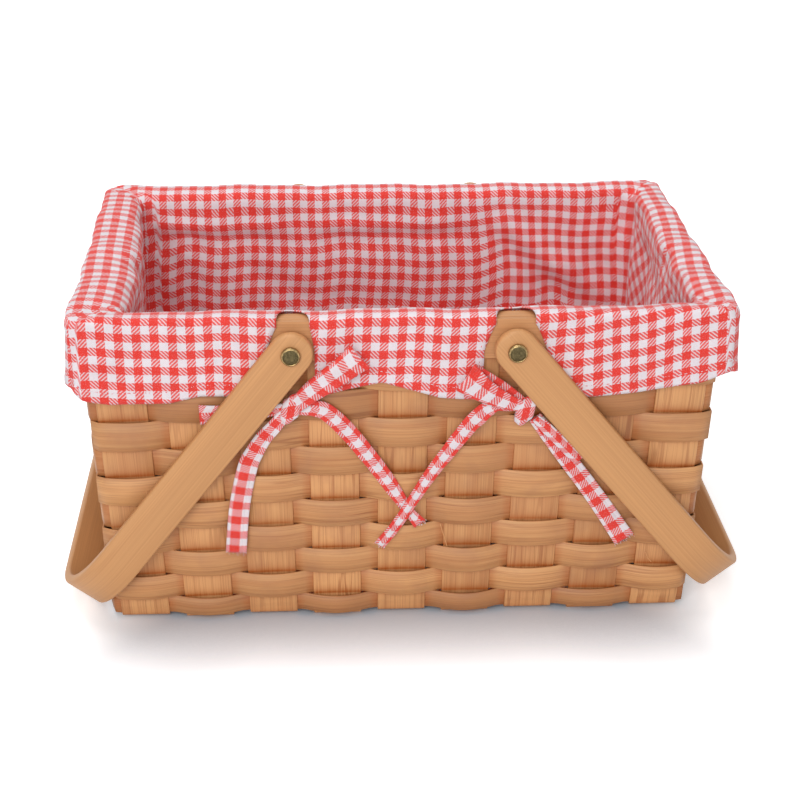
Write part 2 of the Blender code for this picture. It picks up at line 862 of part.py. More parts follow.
def skirt_fold(point, share):
    """How far the skirt stands out from its flat place: much more at the ends than at the front."""
    ends = abs(point.y) < half_depth(RIM_TOP) - LINER_SKIRT_CORNER
    depth = END_SKIRT_FOLD if ends else SKIRT_FOLD
    along = point.y if ends else point.x
    wave = math.sin(along * math.tau / SKIRT_FOLD_LENGTH + SKIRT_FOLD_PHASE)
    return depth * share * (1 + wave) / 2


def liner_rows():
    """Rows from the floor edge up the inside, over the rim and down to the hem.

    A row's offset is counted from the stakes at the rim. Skirt rows get their height from the hem.
    """
    inner = -(batten_inner_offset() + LINER_NUT_CLEARANCE + NUT_HEIGHT + WOOD_GAP)
    floor = inner - LINER_FLOOR_INSET
    floor_z = high_level() + STAKE_THICKNESS / 2 + WOOD_GAP
    top_z = RIM_TOP - LINER_SHOULDER
    outer = rim_outer_offset() + WOOD_GAP
    crest_z = RIM_TOP + CREST_RISE
    rows = [Row(floor, floor_z, LINER_INNER_CORNER, "floor", 0)]
    for share in LINER_WALL_SHARES:
        offset = floor + (inner - floor) * share
        height = floor_z + (top_z - floor_z) * share
        rows.append(Row(offset, height, LINER_INNER_CORNER, "wall", share))
    rows.append(Row(-batten_inner_offset(), crest_z, LINER_INNER_CORNER, "crest", 0))
    rows.append(Row(outer - BATTEN_THICKNESS / 2, crest_z, LINER_SKIRT_CORNER, "crest", 0))
    rows.append(Row(outer, RIM_TOP + WOOD_GAP, LINER_SKIRT_CORNER, "crest", 0))
    for share in LINER_SKIRT_SHARES:
        rows.append(Row(outer, None, LINER_SKIRT_CORNER, "skirt", share))
    return rows


def slit_opens(row, wall):
    """Whether a slit is open above this row: the back slits stop short of the rim's inner half."""
    if row.kind == "crest":
        return wall == "front" or row.offset > -batten_inner_offset()
    return row.kind == "skirt"


def build_liner():
    """One sheet of cloth: floor, walls, the turn over the rim, and the slit skirt outside."""
    columns = liner_columns()
    length = half_length(RIM_TOP)
    depth = half_depth(RIM_TOP)
    mesh = bmesh.new()
    grid = []
    rows = liner_rows()
    for row in rows:
        half_x = length + row.offset
        half_y = depth + row.offset
        ring = []
        for column in columns:
            height = row.height
            if row.kind == "skirt":
                top = liner_point(column, half_x, half_y, row.radius, RIM_TOP, 0)
                height = RIM_TOP + (hem_height(top) - RIM_TOP) * row.share
            flat = liner_point(column, half_x, half_y, row.radius, height, 0)
            outward = 0
            if row.kind == "wall" and row.share < 1:
                outward = wall_fold(flat, row.share)
            if row.kind == "skirt":
                outward = skirt_fold(flat, row.share)
            point = liner_point(column, half_x, half_y, row.radius, height, outward)
            ring.append(mesh.verts.new(point))
        grid.append(ring)
    count = len(columns)
    mesh.faces.new(grid[0])
    for row, lower, upper in zip(rows, grid, grid[1:]):
        for step, column in enumerate(columns):
            if column.is_slit and slit_opens(row, column.wall):
                continue
            following = (step + 1) % count
            mesh.faces.new((lower[step], upper[step], upper[following], lower[following]))
    data = bpy.data.meshes.new("liner")
    mesh.to_mesh(data)
    mesh.free()
    liner = place_object("liner", data, CHECKED_CLOTH)
    cloth = liner.modifiers.new("cloth", "SOLIDIFY")
    cloth.thickness = CLOTH_THICKNESS
    cloth.offset = 1.0
    cloth.use_even_offset = True
    return liner


def strip(name, places, edgewise=None):
    """A flat tape along a route. edgewise fixes the direction of its width, as a loop needs."""
    sections = []
    count = len(places)
    for index, place in enumerate(places):
        before = places[max(index - 1, 0)]
        after = places[min(index + 1, count - 1)]
        tangent = (after - before).normalized()
        if edgewise is None:
            side = Vector((-tangent.z, 0, tangent.x)).normalized()
        else:
            side = (edgewise - tangent * edgewise.dot(tangent)).normalized()
        face = tangent.cross(side).normalized()
        half = side * TIE_WIDTH / 2
        skin = face * TIE_THICKNESS / 2
        sections.append(
            [place - half - skin, place + half - skin, place + half + skin, place - half + skin]
        )
    tape = loft(name, sections, CHECKED_CLOTH)
    PARTS.objects.unlink(tape)
    CUTTERS.objects.link(tape)
    hide_helper(tape)
    return tape


def tie_place(side_x, share):
    """A point of a front tie's route: across and up from its knot, and out from the wall."""
    across, up, layers = share
    beside, lift = LEFT_KNOT_ACROSS, LEFT_KNOT_LIFT
    if side_x > 0:
        beside, lift = RIGHT_KNOT_ACROSS, RIGHT_KNOT_LIFT
    x = side_x * PIVOT_SPACING / 2 + beside + across * TIE_SPAN
    z = RIM_TOP - SKIRT_DROP - TIE_WIDTH / 2 + lift + up * TIE_SPAN
    out = half_depth(z) + weave_outer_offset(z) + WOOD_GAP + layers * TIE_THICKNESS
    return Vector((x, -out, z))


def smooth_route(points, steps):
    """Points on a smooth curve through the given ones."""
    route = []
    last = len(points) - 1
    for index in range(last):
        p0 = points[max(index - 1, 0)]
        p1 = points[index]
        p2 = points[index + 1]
        p3 = points[min(index + 2, last)]
        for step in range(steps):
            t = step / steps
            route.append(
                0.5 * (2 * p1 + (p2 - p0) * t + (2 * p0 - 5 * p1 + 4 * p2 - p3) * t**2
                       + (3 * p1 - p0 - 3 * p2 + p3) * t**3)
            )
    route.append(points[last])
    return route


def build_tie(name, side_x, tail_shares, loop_shares, turned_round):
    """One bow: a knot with its tapes joined on. turned_round takes it to the back wall."""
    centre = tie_place(side_x, (0, 0, KNOT_LAYER_SHARE))
    mesh = bmesh.new()
    bmesh.ops.create_uvsphere(
        mesh, u_segments=TIE_KNOT_SIDES, v_segments=TIE_KNOT_BANDS, radius=1
    )
    size = Vector((TIE_KNOT_WIDTH, TIE_KNOT_DEPTH, TIE_KNOT_HEIGHT)) / 2
    bmesh.ops.scale(mesh, verts=mesh.verts, vec=size)
    bmesh.ops.translate(mesh, verts=mesh.verts, vec=centre)
    if turned_round:
        bmesh.ops.rotate(mesh, verts=mesh.verts, cent=(0, 0, 0), matrix=Matrix.Rotation(math.pi, 3, "Z"))
    data = bpy.data.meshes.new(name)
    mesh.to_mesh(data)
    mesh.free()
    knot = place_object(name, data, CHECKED_CLOTH)
    for index, shares in enumerate(tail_shares):
        route = smooth_route([tie_place(side_x, share) for share in shares], TIE_ROUTE_STEPS)
        join_to_knot(knot, strip(f"{name}_tail_{index}", route), turned_round)
    for index, shares in enumerate(loop_shares):
        places = [tie_place(side_x, share) for share in shares]
        axis = (places[len(places) // 2] - places[0]).normalized()
        edgewise = Vector((-axis.z, 0, axis.x)).normalized()
        route = smooth_route(places, TIE_ROUTE_STEPS)
        join_to_knot(knot, strip(f"{name}_loop_{index}", route, edgewise), turned_round)
    return knot


def join_to_knot(knot, tape, turned_round):
    """Make a tape one body with the knot. The tape stays as a hidden helper."""
    if turned_round:
        tape.data.transform(Matrix.Rotation(math.pi, 4, "Z"))
    boolean(knot, tape, "UNION")


def build_ties():
    """The two front bows, and the same two turned half round for the back wall."""
    build_tie("front_left_tie", -1, LEFT_TAIL_SHARES, LEFT_LOOP_SHARES, turned_round=False)
    build_tie("front_right_tie", 1, RIGHT_TAIL_SHARES, RIGHT_LOOP_SHARES, turned_round=False)
    build_tie("back_right_tie", -1, LEFT_TAIL_SHARES, LEFT_LOOP_SHARES, turned_round=True)
    build_tie("back_left_tie", 1, RIGHT_TAIL_SHARES, RIGHT_LOOP_SHARES, turned_round=True)


def build_basket():
    stakes = build_stakes()
    build_weavers()
    outer_rim = build_outer_rim()
    battens = build_battens()
    left_handle = build_handle("left_handle", -1, rest_drop(LEFT_HANDLE_TABLE_GAP))
    right_handle = build_handle("right_handle", 1, rest_drop(RIGHT_HANDLE_TABLE_GAP))
    left_drill = hinge_drill("left_hinge_drill", -1)
    right_drill = hinge_drill("right_hinge_drill", 1)
    for drill, handle in ((left_drill, left_handle), (right_drill, right_handle)):
        for drilled in (outer_rim, battens[0], battens[1], handle):
            boolean(drilled, drill, "DIFFERENCE")
    for index in drilled_stakes():
        drill = left_drill if index <= CROSS_STAKES // 2 else right_drill
        boolean(stakes[index], drill, "DIFFERENCE")
    for corner_name, side_x, side_y in (
        ("front_left", -1, -1),
        ("front_right", 1, -1),
        ("back_left", -1, 1),
        ("back_right", 1, 1),
    ):
        build_hinge(corner_name, side_x, side_y)
    build_liner()
    build_ties()
    for obj in PARTS.objects:
        shade_smooth(obj)


def drilled_stakes():
    """The cross stakes that the bolts' holes touch."""
    reach = STAKE_WIDTH / 2 + bore_radius()
    touched = []
    for index in range(1, CROSS_STAKES + 1):
        place = spread_x(cross_stake_place(index), pivot_height())
        if abs(abs(place) - PIVOT_SPACING / 2) < reach:
            touched.append(index)
    return touched


build_basket()
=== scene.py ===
"""Looks of the pie basket: woven splints, bent handles, checked lining and bows.

Laid out as an add-on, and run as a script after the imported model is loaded.
"""

import math
import random
from collections import namedtuple

import bmesh
import bpy
import numpy as np
from bpy.props import FloatProperty, FloatVectorProperty, IntProperty, PointerProperty
from bpy.types import Operator, Panel, PropertyGroup
from mathutils import Matrix, Vector


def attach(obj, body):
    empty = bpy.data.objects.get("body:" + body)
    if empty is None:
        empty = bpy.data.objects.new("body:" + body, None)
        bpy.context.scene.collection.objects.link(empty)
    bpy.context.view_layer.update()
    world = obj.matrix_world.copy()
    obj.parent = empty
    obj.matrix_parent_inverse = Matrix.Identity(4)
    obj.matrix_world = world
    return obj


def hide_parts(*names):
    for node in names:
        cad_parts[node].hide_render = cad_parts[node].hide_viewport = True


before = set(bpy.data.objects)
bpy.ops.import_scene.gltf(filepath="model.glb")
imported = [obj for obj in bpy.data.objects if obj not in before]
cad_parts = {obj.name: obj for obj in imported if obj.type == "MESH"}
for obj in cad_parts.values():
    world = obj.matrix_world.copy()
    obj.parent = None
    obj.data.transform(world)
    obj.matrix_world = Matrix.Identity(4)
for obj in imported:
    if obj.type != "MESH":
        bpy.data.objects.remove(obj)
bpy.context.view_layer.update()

bl_info = {
    "name": "Pie Basket",
    "version": (1, 0, 0),
    "blender": (4, 5, 0),
    "location": "3D View > Sidebar > Pie Basket",
    "description": "Builds the looks of a splint pie basket with a checked lining",
    "category": "Object",
}

UP = Vector((0.0, 0.0, 1.0))
MM = 0.001
# The gap that touching pieces keep.
GAP = 0.0003


# Sizes and colours that a user would change.


def distance(label, default, description):
    return FloatProperty(
        name=label,
        description=description,
        default=default,
        min=0.0,
        soft_max=1.0,
        precision=5,
        subtype="DISTANCE",
        unit="LENGTH",
    )


def share(label, default, description):
    return FloatProperty(name=label, description=description, default=default, precision=4)


def angle(label, default, description):
    return FloatProperty(name=label, description=description, default=default, subtype="ANGLE")


def number(label, default, description, least=0):
    return IntProperty(name=label, description=description, default=default, min=least)


def colour(label, red, green, blue, description):
    """A colour property, given as the 0 to 255 values seen on a screen."""
    linear = []
    for value in (red, green, blue):
        value /= 255
        linear.append(value / 12.92 if value <= 0.04045 else ((value + 0.055) / 1.055) ** 2.4)
    return FloatVectorProperty(
        name=label,
        description=description,
        default=linear,
        size=3,
        min=0.0,
        max=1.0,
        subtype="COLOR",
    )


class BasketSizes(PropertyGroup):
    base_length: distance("Base length", 0.349, "Length of the basket's bottom")
    base_depth: distance("Base depth", 0.223, "Depth of the basket's bottom")
    length_flare: share("Length flare", 0.045, "How far each end leans out, per height")
    depth_flare: share("Depth flare", 0.030, "How far the front and back lean out, per height")
    rim_top: distance("Rim top", 0.1975, "Height of the rim's top edge")
    rim_height: distance("Rim height", 0.0241, "Height of the rim band")
    rim_thickness: distance("Rim thickness", 0.0020, "Thickness of the outer band")
    batten: distance("Batten", 0.0090, "Thickness of the inner battens")
    stake_width: distance("Stake width", 0.0288, "Width of an upright splint")
    stake_thickness: distance("Stake thickness", 0.0012, "Thickness of an upright splint")
    cross_stakes: number("Cross stakes", 9, "Uprights on each long side", 3)
    long_stakes: number("Long stakes", 5, "Uprights on each end", 3)
    cross_margin: distance("Cross margin", 0.0045, "From the last cross stake to the corner")
    long_margin: distance("Long margin", 0.0125, "From the last long stake to the corner")
    rows: number("Rows", 10, "Rows of weaving", 2)
    row_growth: share("Row growth", 0.0244, "How much taller each row is than the last")
    row_gap: distance("Row gap", 0.0005, "Gap between two rows")
    weaver_thickness: distance("Weaver thickness", 0.0011, "Thickness of a weaver")
    top_bulge: distance("Top bulge", 0.0012, "How far a span stands off at the top row")
    foot_bulge: distance("Foot bulge", 0.0026, "How far a span stands off at the bottom row")
    waviness: distance("Waviness", 0.00035, "Unevenness of the splints")
    seed: number("Seed", 7, "Seed of the unevenness")


class HandleSizes(PropertyGroup):
    pivot_x: distance("Pivot", 0.064, "From the middle of the basket to a hinge")
    pivot_z: distance("Pivot height", 0.1803, "Height of the hinge line")
    width: distance("Width", 0.0252, "Width of the bent bar")
    thickness: distance("Thickness", 0.0060, "Thickness of the bent bar")
    reach: distance("Reach", 0.2180, "From the hinge to the far side of the bar")
    bend: distance("Bend", 0.0500, "Outer radius of the bends")
    back_end: distance("Back end", 0.0070, "How much further a back leg runs past its bolt")
    edge: distance("Edge", 0.0016, "Radius of the eased edges")
    inner_half: distance("Inner half", 0.122202, "From the middle to a leg's inner face")
    left_drop: angle("Left drop", 0.90754, "How far below level the left handle rests")
    right_drop: angle("Right drop", 0.876145, "How far below level the right handle rests")
    head: distance("Bolt head", 0.0112, "Diameter of a bolt head")
    head_height: distance("Bolt head height", 0.0026, "Height of a bolt head")
    shank: distance("Shank", 0.0050, "Diameter of a bolt's shank")
    shank_length: distance("Shank length", 0.0239, "Length of a bolt's shank")


class ClothSizes(PropertyGroup):
    thickness: distance("Thickness", 0.0008, "Thickness of the lining")
    check: distance("Check", 0.0100, "Size of one repeat of the check")
    thread: distance("Thread", 0.00232, "Spacing of the lining's hatch, along a thread")
    tie_thread: distance("Tie thread", 0.00175, "Spacing of the ties' hatch, along a thread")
    skirt_drop: distance("Skirt drop", 0.0470, "From the rim to the hem")
    slit_top: distance("Slit top", 0.0185, "Width of a slit at the rim")
    slit_hem: distance("Slit hem", 0.0320, "Width of a slit at the hem")
    inner_corner: distance("Inner corner", 0.0120, "Corner radius inside")
    skirt_corner: distance("Skirt corner", 0.0070, "Corner radius of the skirt")
    tie_width: distance("Tie width", 0.0105, "Width of a tie")
    tie_length: distance("Tie length", 0.430, "Length of the tape in a bow, laid out")
    tie_thickness: distance("Tie thickness", 0.0012, "Thickness of a folded tie")


class Finishes(PropertyGroup):
    splint: colour("Splint", 190, 130, 81, "Woven splints")
    splint_dark: colour("Splint shade", 148, 88, 48, "Dark grain of the splints")
    splint_pale: colour("Splint pale", 208, 153, 100, "Pale grain of the splints")
    # Painted orange-brown shade, with some stain, where a splint goes behind another.
    tucked: colour("Tucked", 168, 86, 26, "Where a splint goes behind another")
    handle: colour("Handle", 204, 149, 96, "Bent handles")
    handle_dark: colour("Handle shade", 178, 121, 72, "Dark grain of the handles")
    rim: colour("Rim", 205, 148, 98, "Rim band and battens")
    rim_dark: colour("Rim shade", 160, 103, 58, "Dark grain of the rim")
    brass: colour("Brass", 176, 150, 104, "Bright brass")
    brass_dark: colour("Brass shade", 104, 92, 64, "Dull middle of the bolt heads")
    red: colour("Red", 224, 50, 38, "Red of the check")
    white: colour("White", 226, 218, 223, "White of the check")


def basket():
    return bpy.context.scene.basket_sizes


def handle():
    return bpy.context.scene.handle_sizes


def cloth():
    return bpy.context.scene.cloth_sizes


def finishes():
    return bpy.context.scene.finishes


# The basket's own measures, as its source works them out.


def rim_bottom():
    return basket().rim_top - basket().rim_height


def half_length(z):
    return basket().base_length / 2 + basket().length_flare * min(z, rim_bottom())


def half_depth(z):
    return basket().base_depth / 2 + basket().depth_flare * min(z, rim_bottom())


def row_top(row):
    """Height of a row's upper boundary. A row may be a fraction."""
    size = basket()

    def total(count):
        return count + size.row_growth * count * (count - 1) / 2

    return (rim_bottom() - GAP) * total(row) / total(size.rows)


def bulge_at(z):
    level = min(z / rim_bottom(), 1.0)
    return basket().foot_bulge + (basket().top_bulge - basket().foot_bulge) * level


def weave_offset():
    return (basket().stake_thickness + basket().weaver_thickness) / 2 + GAP


def cross_place(index):
    size = basket()
    pitch = (size.base_length - 2 * size.cross_margin - size.stake_width) / (size.cross_stakes - 1)
    return (index - (size.cross_stakes + 1) / 2) * pitch


def long_place(index):
    size = basket()
    pitch = (size.base_depth - 2 * size.long_margin - size.stake_width) / (size.long_stakes - 1)
    return (index - (size.long_stakes + 1) / 2) * pitch


def smooth_step(value):
    value = min(max(value, 0.0), 1.0)
    return value * value * (3 - 2 * value)


# Rails: lines with values along them, which a node tree turns into splints or threads.


class Rails:
    def __init__(self):
        self.points = []
        self.edges = []
        self.values = {}

    def add(self, points, **values):
        start = len(self.points)
        self.points += [tuple(point) for point in points]
        self.edges += [(start + i, start + i + 1) for i in range(len(points) - 1)]
        for label, listed in values.items():
            if not hasattr(listed, "__len__"):
                listed = [listed] * len(points)
            self.values.setdefault(label, []).extend(listed)

    def add_splint(self, points, rises, **values):
        """A rail with the way that its face looks, given the direction across it at each point."""
        faces, alongs = [], [0.0]
        for i, point in enumerate(points):
            tangent = (points[min(i + 1, len(points) - 1)] - points[max(i - 1, 0)]).normalized()
            faces.append(rises[i].cross(tangent).normalized())
            if i:
                alongs.append(alongs[-1] + (point - points[i - 1]).length)
        self.add(points, face=faces, along=alongs, rise=rises, **values)

    def mesh(self, name):
        data = bpy.data.meshes.new(name)
        data.from_pydata(self.points, self.edges, [])
        for label, listed in self.values.items():
            vector = hasattr(listed[0], "__len__")
            kind, field = ("FLOAT_VECTOR", "vector") if vector else ("FLOAT", "value")
            layer = data.attributes.new(label, kind, "POINT")
            layer.data.foreach_set(field, np.array(listed, np.float32).ravel())
        return data


# Node trees


class Wiring:
    """Adds nodes to a tree and joins them."""

    def __init__(self, tree):
        self.tree = tree

    def node(self, kind, feeds=None, **settings):
        made = self.tree.nodes.new(kind)
        for label, value in settings.items():
            setattr(made, label, value)
        for socket, value in (feeds or {}).items():
            self.feed(made.inputs[socket], value)
        return made

    def out(self, kind, feeds=None, **settings):
        """The first output of a new node."""
        return self.node(kind, feeds, **settings).outputs[0]

    def feed(self, socket, value):
        if isinstance(value, bpy.types.NodeSocket):
            self.tree.links.new(value, socket)
        else:
            socket.default_value = value

    def math(self, operation, *values, clamp=False):
        made = self.node("ShaderNodeMath", dict(enumerate(values)), operation=operation)
        made.use_clamp = clamp
        return made.outputs[0]

    def times(self, first, second):
        return self.math("MULTIPLY", first, second)

    def plus(self, first, second):
        return self.math("ADD", first, second)

    def minus(self, first, second):
        return self.math("SUBTRACT", first, second)

    def vector(self, operation, *values):
        return self.out("ShaderNodeVectorMath", dict(enumerate(values)), operation=operation)

    def scaled(self, vector, factor):
        return self.out("ShaderNodeVectorMath", {0: vector, "Scale": factor}, operation="SCALE")

    def joined(self, x, y, z=0.0):
        return self.out("ShaderNodeCombineXYZ", {0: x, 1: y, 2: z})

    def parted(self, vector):
        return self.node("ShaderNodeSeparateXYZ", {0: vector}).outputs

    def mix(self, factor, first, second, blend="MIX"):
        made = self.node("ShaderNodeMix", {0: factor, 6: first, 7: second}, data_type="RGBA")
        made.blend_type = blend
        return made.outputs[2]

    def shaded(self, paint, value):
        """A colour, made brighter or darker by a value."""
        return self.mix(1.0, paint, self.joined(value, value, value), "MULTIPLY")

    def spread(self, value, low, high, new_low=0.0, new_high=1.0):
        return self.out("ShaderNodeMapRange", {0: value, 1: low, 2: high, 3: new_low, 4: new_high})

    def noise(self, vector, detail=2.0, rough=0.5, scale=1.0):
        feeds = {"Vector": vector, "Scale": scale, "Detail": detail, "Roughness": rough}
        return self.node("ShaderNodeTexNoise", feeds).outputs["Fac"]

    def place(self):
        return self.node("ShaderNodeTexCoord").outputs["Object"]

    def value(self, name):
        return self.node("ShaderNodeAttribute", attribute_name=name).outputs["Fac"]

    def grain(self):
        """Where a spot lies in the piece's own grain or weave."""
        found = self.node("ShaderNodeAttribute", attribute_name="grain").outputs["Vector"]
        return self.parted(found)

    def group(self, tree, **feeds):
        """A node group of this file, with its inputs fed by name."""
        made = self.node("ShaderNodeGroup", node_tree=tree)
        for label, value in feeds.items():
            self.feed(made.inputs[label.capitalize()], value)
        return made.outputs

    def seen(self):
        """1 where a background shows: to the camera, in metal and through glass."""
        rays = self.node("ShaderNodeLightPath").outputs
        mirrored = self.math("MAXIMUM", rays["Is Camera Ray"], rays["Is Glossy Ray"])
        return self.math("MAXIMUM", mirrored, rays["Is Transmission Ray"])


FLOAT = "NodeSocketFloat"
GEOMETRY = "NodeSocketGeometry"


def new_group(name, kind, inputs, outputs):
    """An empty node group, with its sockets given as (name, type, default)."""
    tree = bpy.data.node_groups.new(name, kind)
    for label, socket, default in inputs:
        made = tree.interface.new_socket(label, in_out="INPUT", socket_type=socket)
        if default is not None:
            made.default_value = default
    for label, socket in outputs:
        tree.interface.new_socket(label, in_out="OUTPUT", socket_type=socket)
    wires = Wiring(tree)
    return tree, wires, wires.node("NodeGroupInput").outputs, wires.node("NodeGroupOutput").inputs


def rail_group(name, *inputs):
    """A geometry tree that takes rails as curves. Its last answer closes it round a solid."""
    tree, wires, given, result = new_group(
        name,
        "GeometryNodeTree",
        (("Geometry", GEOMETRY, None), *inputs, ("Material", "NodeSocketMaterial", None)),
        (("Geometry", GEOMETRY),),
    )
    line = wires.out("GeometryNodeMeshToCurve", {0: given["Geometry"]})

    def close(solid):
        solid = wires.out("GeometryNodeSetShadeSmooth", {0: solid})
        solid = wires.out("GeometryNodeRealizeInstances", {0: solid})
        paint = {0: solid, "Material": given["Material"]}
        wires.feed(result[0], wires.out("GeometryNodeSetMaterial", paint))
        return tree

    return wires, given, line, close


def sweep_tree():
    """Sweeps a flat bar with eased edges along each rail, facing the way that the rail says."""
    wires, given, line, close = rail_group(
        "Sweep splints",
        ("Width", FLOAT, 0.0288),
        ("Thickness", FLOAT, 0.0012),
        ("Edge radius", FLOAT, 0.0004),
        ("Waviness", FLOAT, 0.0003),
        ("Seed", "NodeSocketInt", 7),
    )

    def named(label, kind="FLOAT"):
        return wires.out("GeometryNodeInputNamedAttribute", {0: label}, data_type=kind)

    turned = {0: line, "Normal": named("face", "FLOAT_VECTOR")}
    line = wires.out("GeometryNodeSetCurveNormal", turned, mode="FREE")
    section = wires.out(
        "GeometryNodeCurvePrimitiveQuadrilateral", {0: given["Thickness"], 1: given["Width"]}
    )
    eased = {0: section, "Count": 1, "Radius": given["Edge radius"]}
    section = wires.out("GeometryNodeFilletCurve", eased, mode="POLY")
    place = wires.parted(wires.out("GeometryNodeInputPosition"))
    marked = {0: section, "Name": "across", "Value": place[1]}
    section = wires.out("GeometryNodeStoreNamedAttribute", marked)
    solid = wires.out("GeometryNodeCurveToMesh", {0: line, 1: section, "Fill Caps": True})
    taller = wires.times(named("across"), named("tall"))
    stretch = wires.scaled(named("rise", "FLOAT_VECTOR"), taller)
    spot = wires.out("GeometryNodeInputPosition")
    feeds = {"Vector": spot, "W": given["Seed"], "Scale": 55.0, "Detail": 1.0}
    noise = wires.node("ShaderNodeTexNoise", feeds, noise_dimensions="4D").outputs["Color"]
    wander = wires.vector("SUBTRACT", noise, (0.5, 0.5, 0.5))
    shift = wires.vector("ADD", stretch, wires.scaled(wander, given["Waviness"]))
    return close(wires.out("GeometryNodeSetPosition", {0: solid, "Offset": shift}))


def thread_tree():
    """Sweeps a thin round thread along each rail."""
    wires, given, line, close = rail_group("Sweep threads", ("Radius", FLOAT, 0.0002))
    around = {"Resolution": 5, "Radius": given["Radius"]}
    ring = wires.out("GeometryNodeCurvePrimitiveCircle", around)
    return close(wires.out("GeometryNodeCurveToMesh", {0: line, 1: ring, "Fill Caps": True}))


def stitch_tree():
    """Lays a run of short stitches along each rail, lying flat on the cloth."""
    wires, given, line, close = rail_group(
        "Run of stitches",
        ("Pitch", FLOAT, 0.003),
        ("Length", FLOAT, 0.002),
        ("Radius", FLOAT, 0.00025),
    )
    spaced = {"Curve": line, "Length": given["Pitch"]}
    line = wires.out("GeometryNodeResampleCurve", spaced, mode="LENGTH")
    along = wires.out("GeometryNodeInputTangent")
    turn = wires.out("FunctionNodeAlignRotationToVector", {"Vector": along}, axis="X")
    bead = wires.out("GeometryNodeMeshIcoSphere", {"Radius": 1.0, "Subdivisions": 2})
    size = wires.joined(wires.times(given["Length"], 0.5), given["Radius"], given["Radius"])
    laid = {"Points": line, "Instance": bead, "Rotation": turn, "Scale": size}
    return close(wires.out("GeometryNodeInstanceOnPoints", laid))


def grow(name, rails, tree, **inputs):
    """Runs a node tree on rails, and returns the result as a plain object."""
    source = bpy.data.objects.new(name + "_rails", rails)
    bpy.context.scene.collection.objects.link(source)
    growth = source.modifiers.new("grow", "NODES")
    growth.node_group = tree
    for item in tree.interface.items_tree:
        label = item.name.lower().replace(" ", "_")
        if item.in_out == "INPUT" and label in inputs:
            growth[item.identifier] = inputs[label]
    graph = bpy.context.evaluated_depsgraph_get()
    grown = bpy.data.meshes.new_from_object(
        source.evaluated_get(graph), preserve_all_data_layers=True, depsgraph=graph
    )
    bpy.data.objects.remove(source)
    grown.name = name
    return show(name, grown)


def show(name, data, *looks):
    obj = bpy.data.objects.new(name, data)
    bpy.context.scene.collection.objects.link(obj)
    for look in looks:
        data.materials.append(look)
    return obj


def grid_mesh(name, rows, marks=None):
    """A closed mesh through rows of points, each row a loop, with marks for its grain."""
    rows = np.asarray(rows, float)
    count, width = rows.shape[:2]
    faces = []
    for i in range(count - 1):
        for j in range(width):
            k = (j + 1) % width
            faces.append((i * width + j, i * width + k, (i + 1) * width + k, (i + 1) * width + j))
    faces.append(tuple(range(width))[::-1])
    faces.append(tuple((count - 1) * width + j for j in range(width)))
    data = bpy.data.meshes.new(name)
    data.from_pydata(rows.reshape(-1, 3).tolist(), [], faces)
    if marks is not None:
        layer = data.attributes.new("grain", "FLOAT_VECTOR", "POINT")
        layer.data.foreach_set("vector", np.asarray(marks, np.float32).reshape(-1))
    data.shade_smooth()
    whole = bmesh.new()
    whole.from_mesh(data)
    bmesh.ops.recalc_face_normals(whole, faces=whole.faces)
    whole.to_mesh(data)
    whole.free()
    return data


# Weaving

# The foot of the first row, and where the strips of a row start, counted in hidden uprights.
FIRST_ROW_FOOT = 0.0037
STRIP_STARTS = (0, 5, 9)
SPAN_STEPS = 12
# How squarely a strip swings from side to side, and how it sags, where it is pinched and
# how deep the painted shade and stain are where it goes behind an upright and at its ends.
SWING = 1.5
SAG = 0.0004
WEAVER_SHARES = {"width": 1.045, "front": 0.012, "tuck": 0.45, "end": 0.55}
# Unevenness: spreads of the spans' fullness, the strips' heights, the corners' bulges, and tones.
FULLNESS = (0.6, 1.3)
LIFTS = (-0.0002, 0.0002)
CORNER_BULGES = (0.0004, 0.0022)
WEAVER_TONE = (0, 0.42)
STAKE_TONE = (0.30, 0.22)
# A stake's top below the rim's, its bend at the foot, its wave behind and before the rows,
# its gap beside the stakes that it crosses, and the height over the foot where it is flat.
STAKE_TOP = 0.0028
STAKE_BEND = 0.0022
STAKE_BEND_LEVEL = 0.0030
STAKE_WAVE = 0.0005
STAKE_EDGE_GAP = 0.0005
STAKE_FOOT_FLAT = 0.0040
STAKE_STEPS = 13
# Stain and painted shade on a stake beside the rows that hold it: how dark and how long, below and
# above.
STAIN_AND_SHADE_FADES = ((1.25, 0.0026), (0.5, 0.0014))
# A little of the same stain and painted shade where a stake bends round at the foot.
FOOT_STAIN_AND_SHADE = 0.3
# Loose fibres of the splints, in millimetres: along the front, up, and out from the wall.
SPLINTERS = (
    ((22.8, 64.0, 2.4), (24.4, 58.5, 3.8), (26.0, 53.0, 4.2), (27.2, 48.6, 3.6)),
    ((-151.0, 93.0, 2.4), (-150.2, 89.4, 3.4), (-148.6, 86.0, 4.0)),
    ((148.5, 41.0, 2.6), (149.6, 37.8, 3.8), (152.0, 35.0, 4.4)),
)


def ring_at(z):
    """The wall's middle line at a height: distances round it, places and outward directions."""
    size = basket()
    half_x, half_y = half_length(z), half_depth(z)
    a, b = size.cross_margin, size.long_margin
    places, outs = [], []

    def corner(sign_x, sign_y, angles):
        for turn in angles:
            x = half_x - a + a * math.cos(turn)
            y = half_y - b + b * math.sin(turn)
            normal = Vector((math.cos(turn) / a, math.sin(turn) / b)).normalized()
            places.append((sign_x * x, sign_y * y))
            outs.append((sign_x * normal.x, sign_y * normal.y))

    def side(start, end, out):
        for step in range(41):
            along = start + (end - start) * step / 40
            places.append((along, out[1] * half_y) if out[0] == 0 else (out[0] * half_x, along))
            outs.append(out)

    quarter = [math.pi / 2 * step / 12 for step in range(1, 12)]
    side(-half_x + a, half_x - a, (0, -1))
    corner(1, -1, quarter[::-1])
    side(-half_y + b, half_y - b, (1, 0))
    corner(1, 1, quarter)
    side(half_x - a, -half_x + a, (0, 1))
    corner(-1, 1, quarter[::-1])
    side(half_y - b, -half_y + b, (-1, 0))
    corner(-1, -1, quarter)
    places, outs = np.array(places + places[:1]), np.array(outs + outs[:1])
    distances = np.concatenate([[0], np.cumsum(np.linalg.norm(np.diff(places, axis=0), axis=1))])
    return distances, places, outs


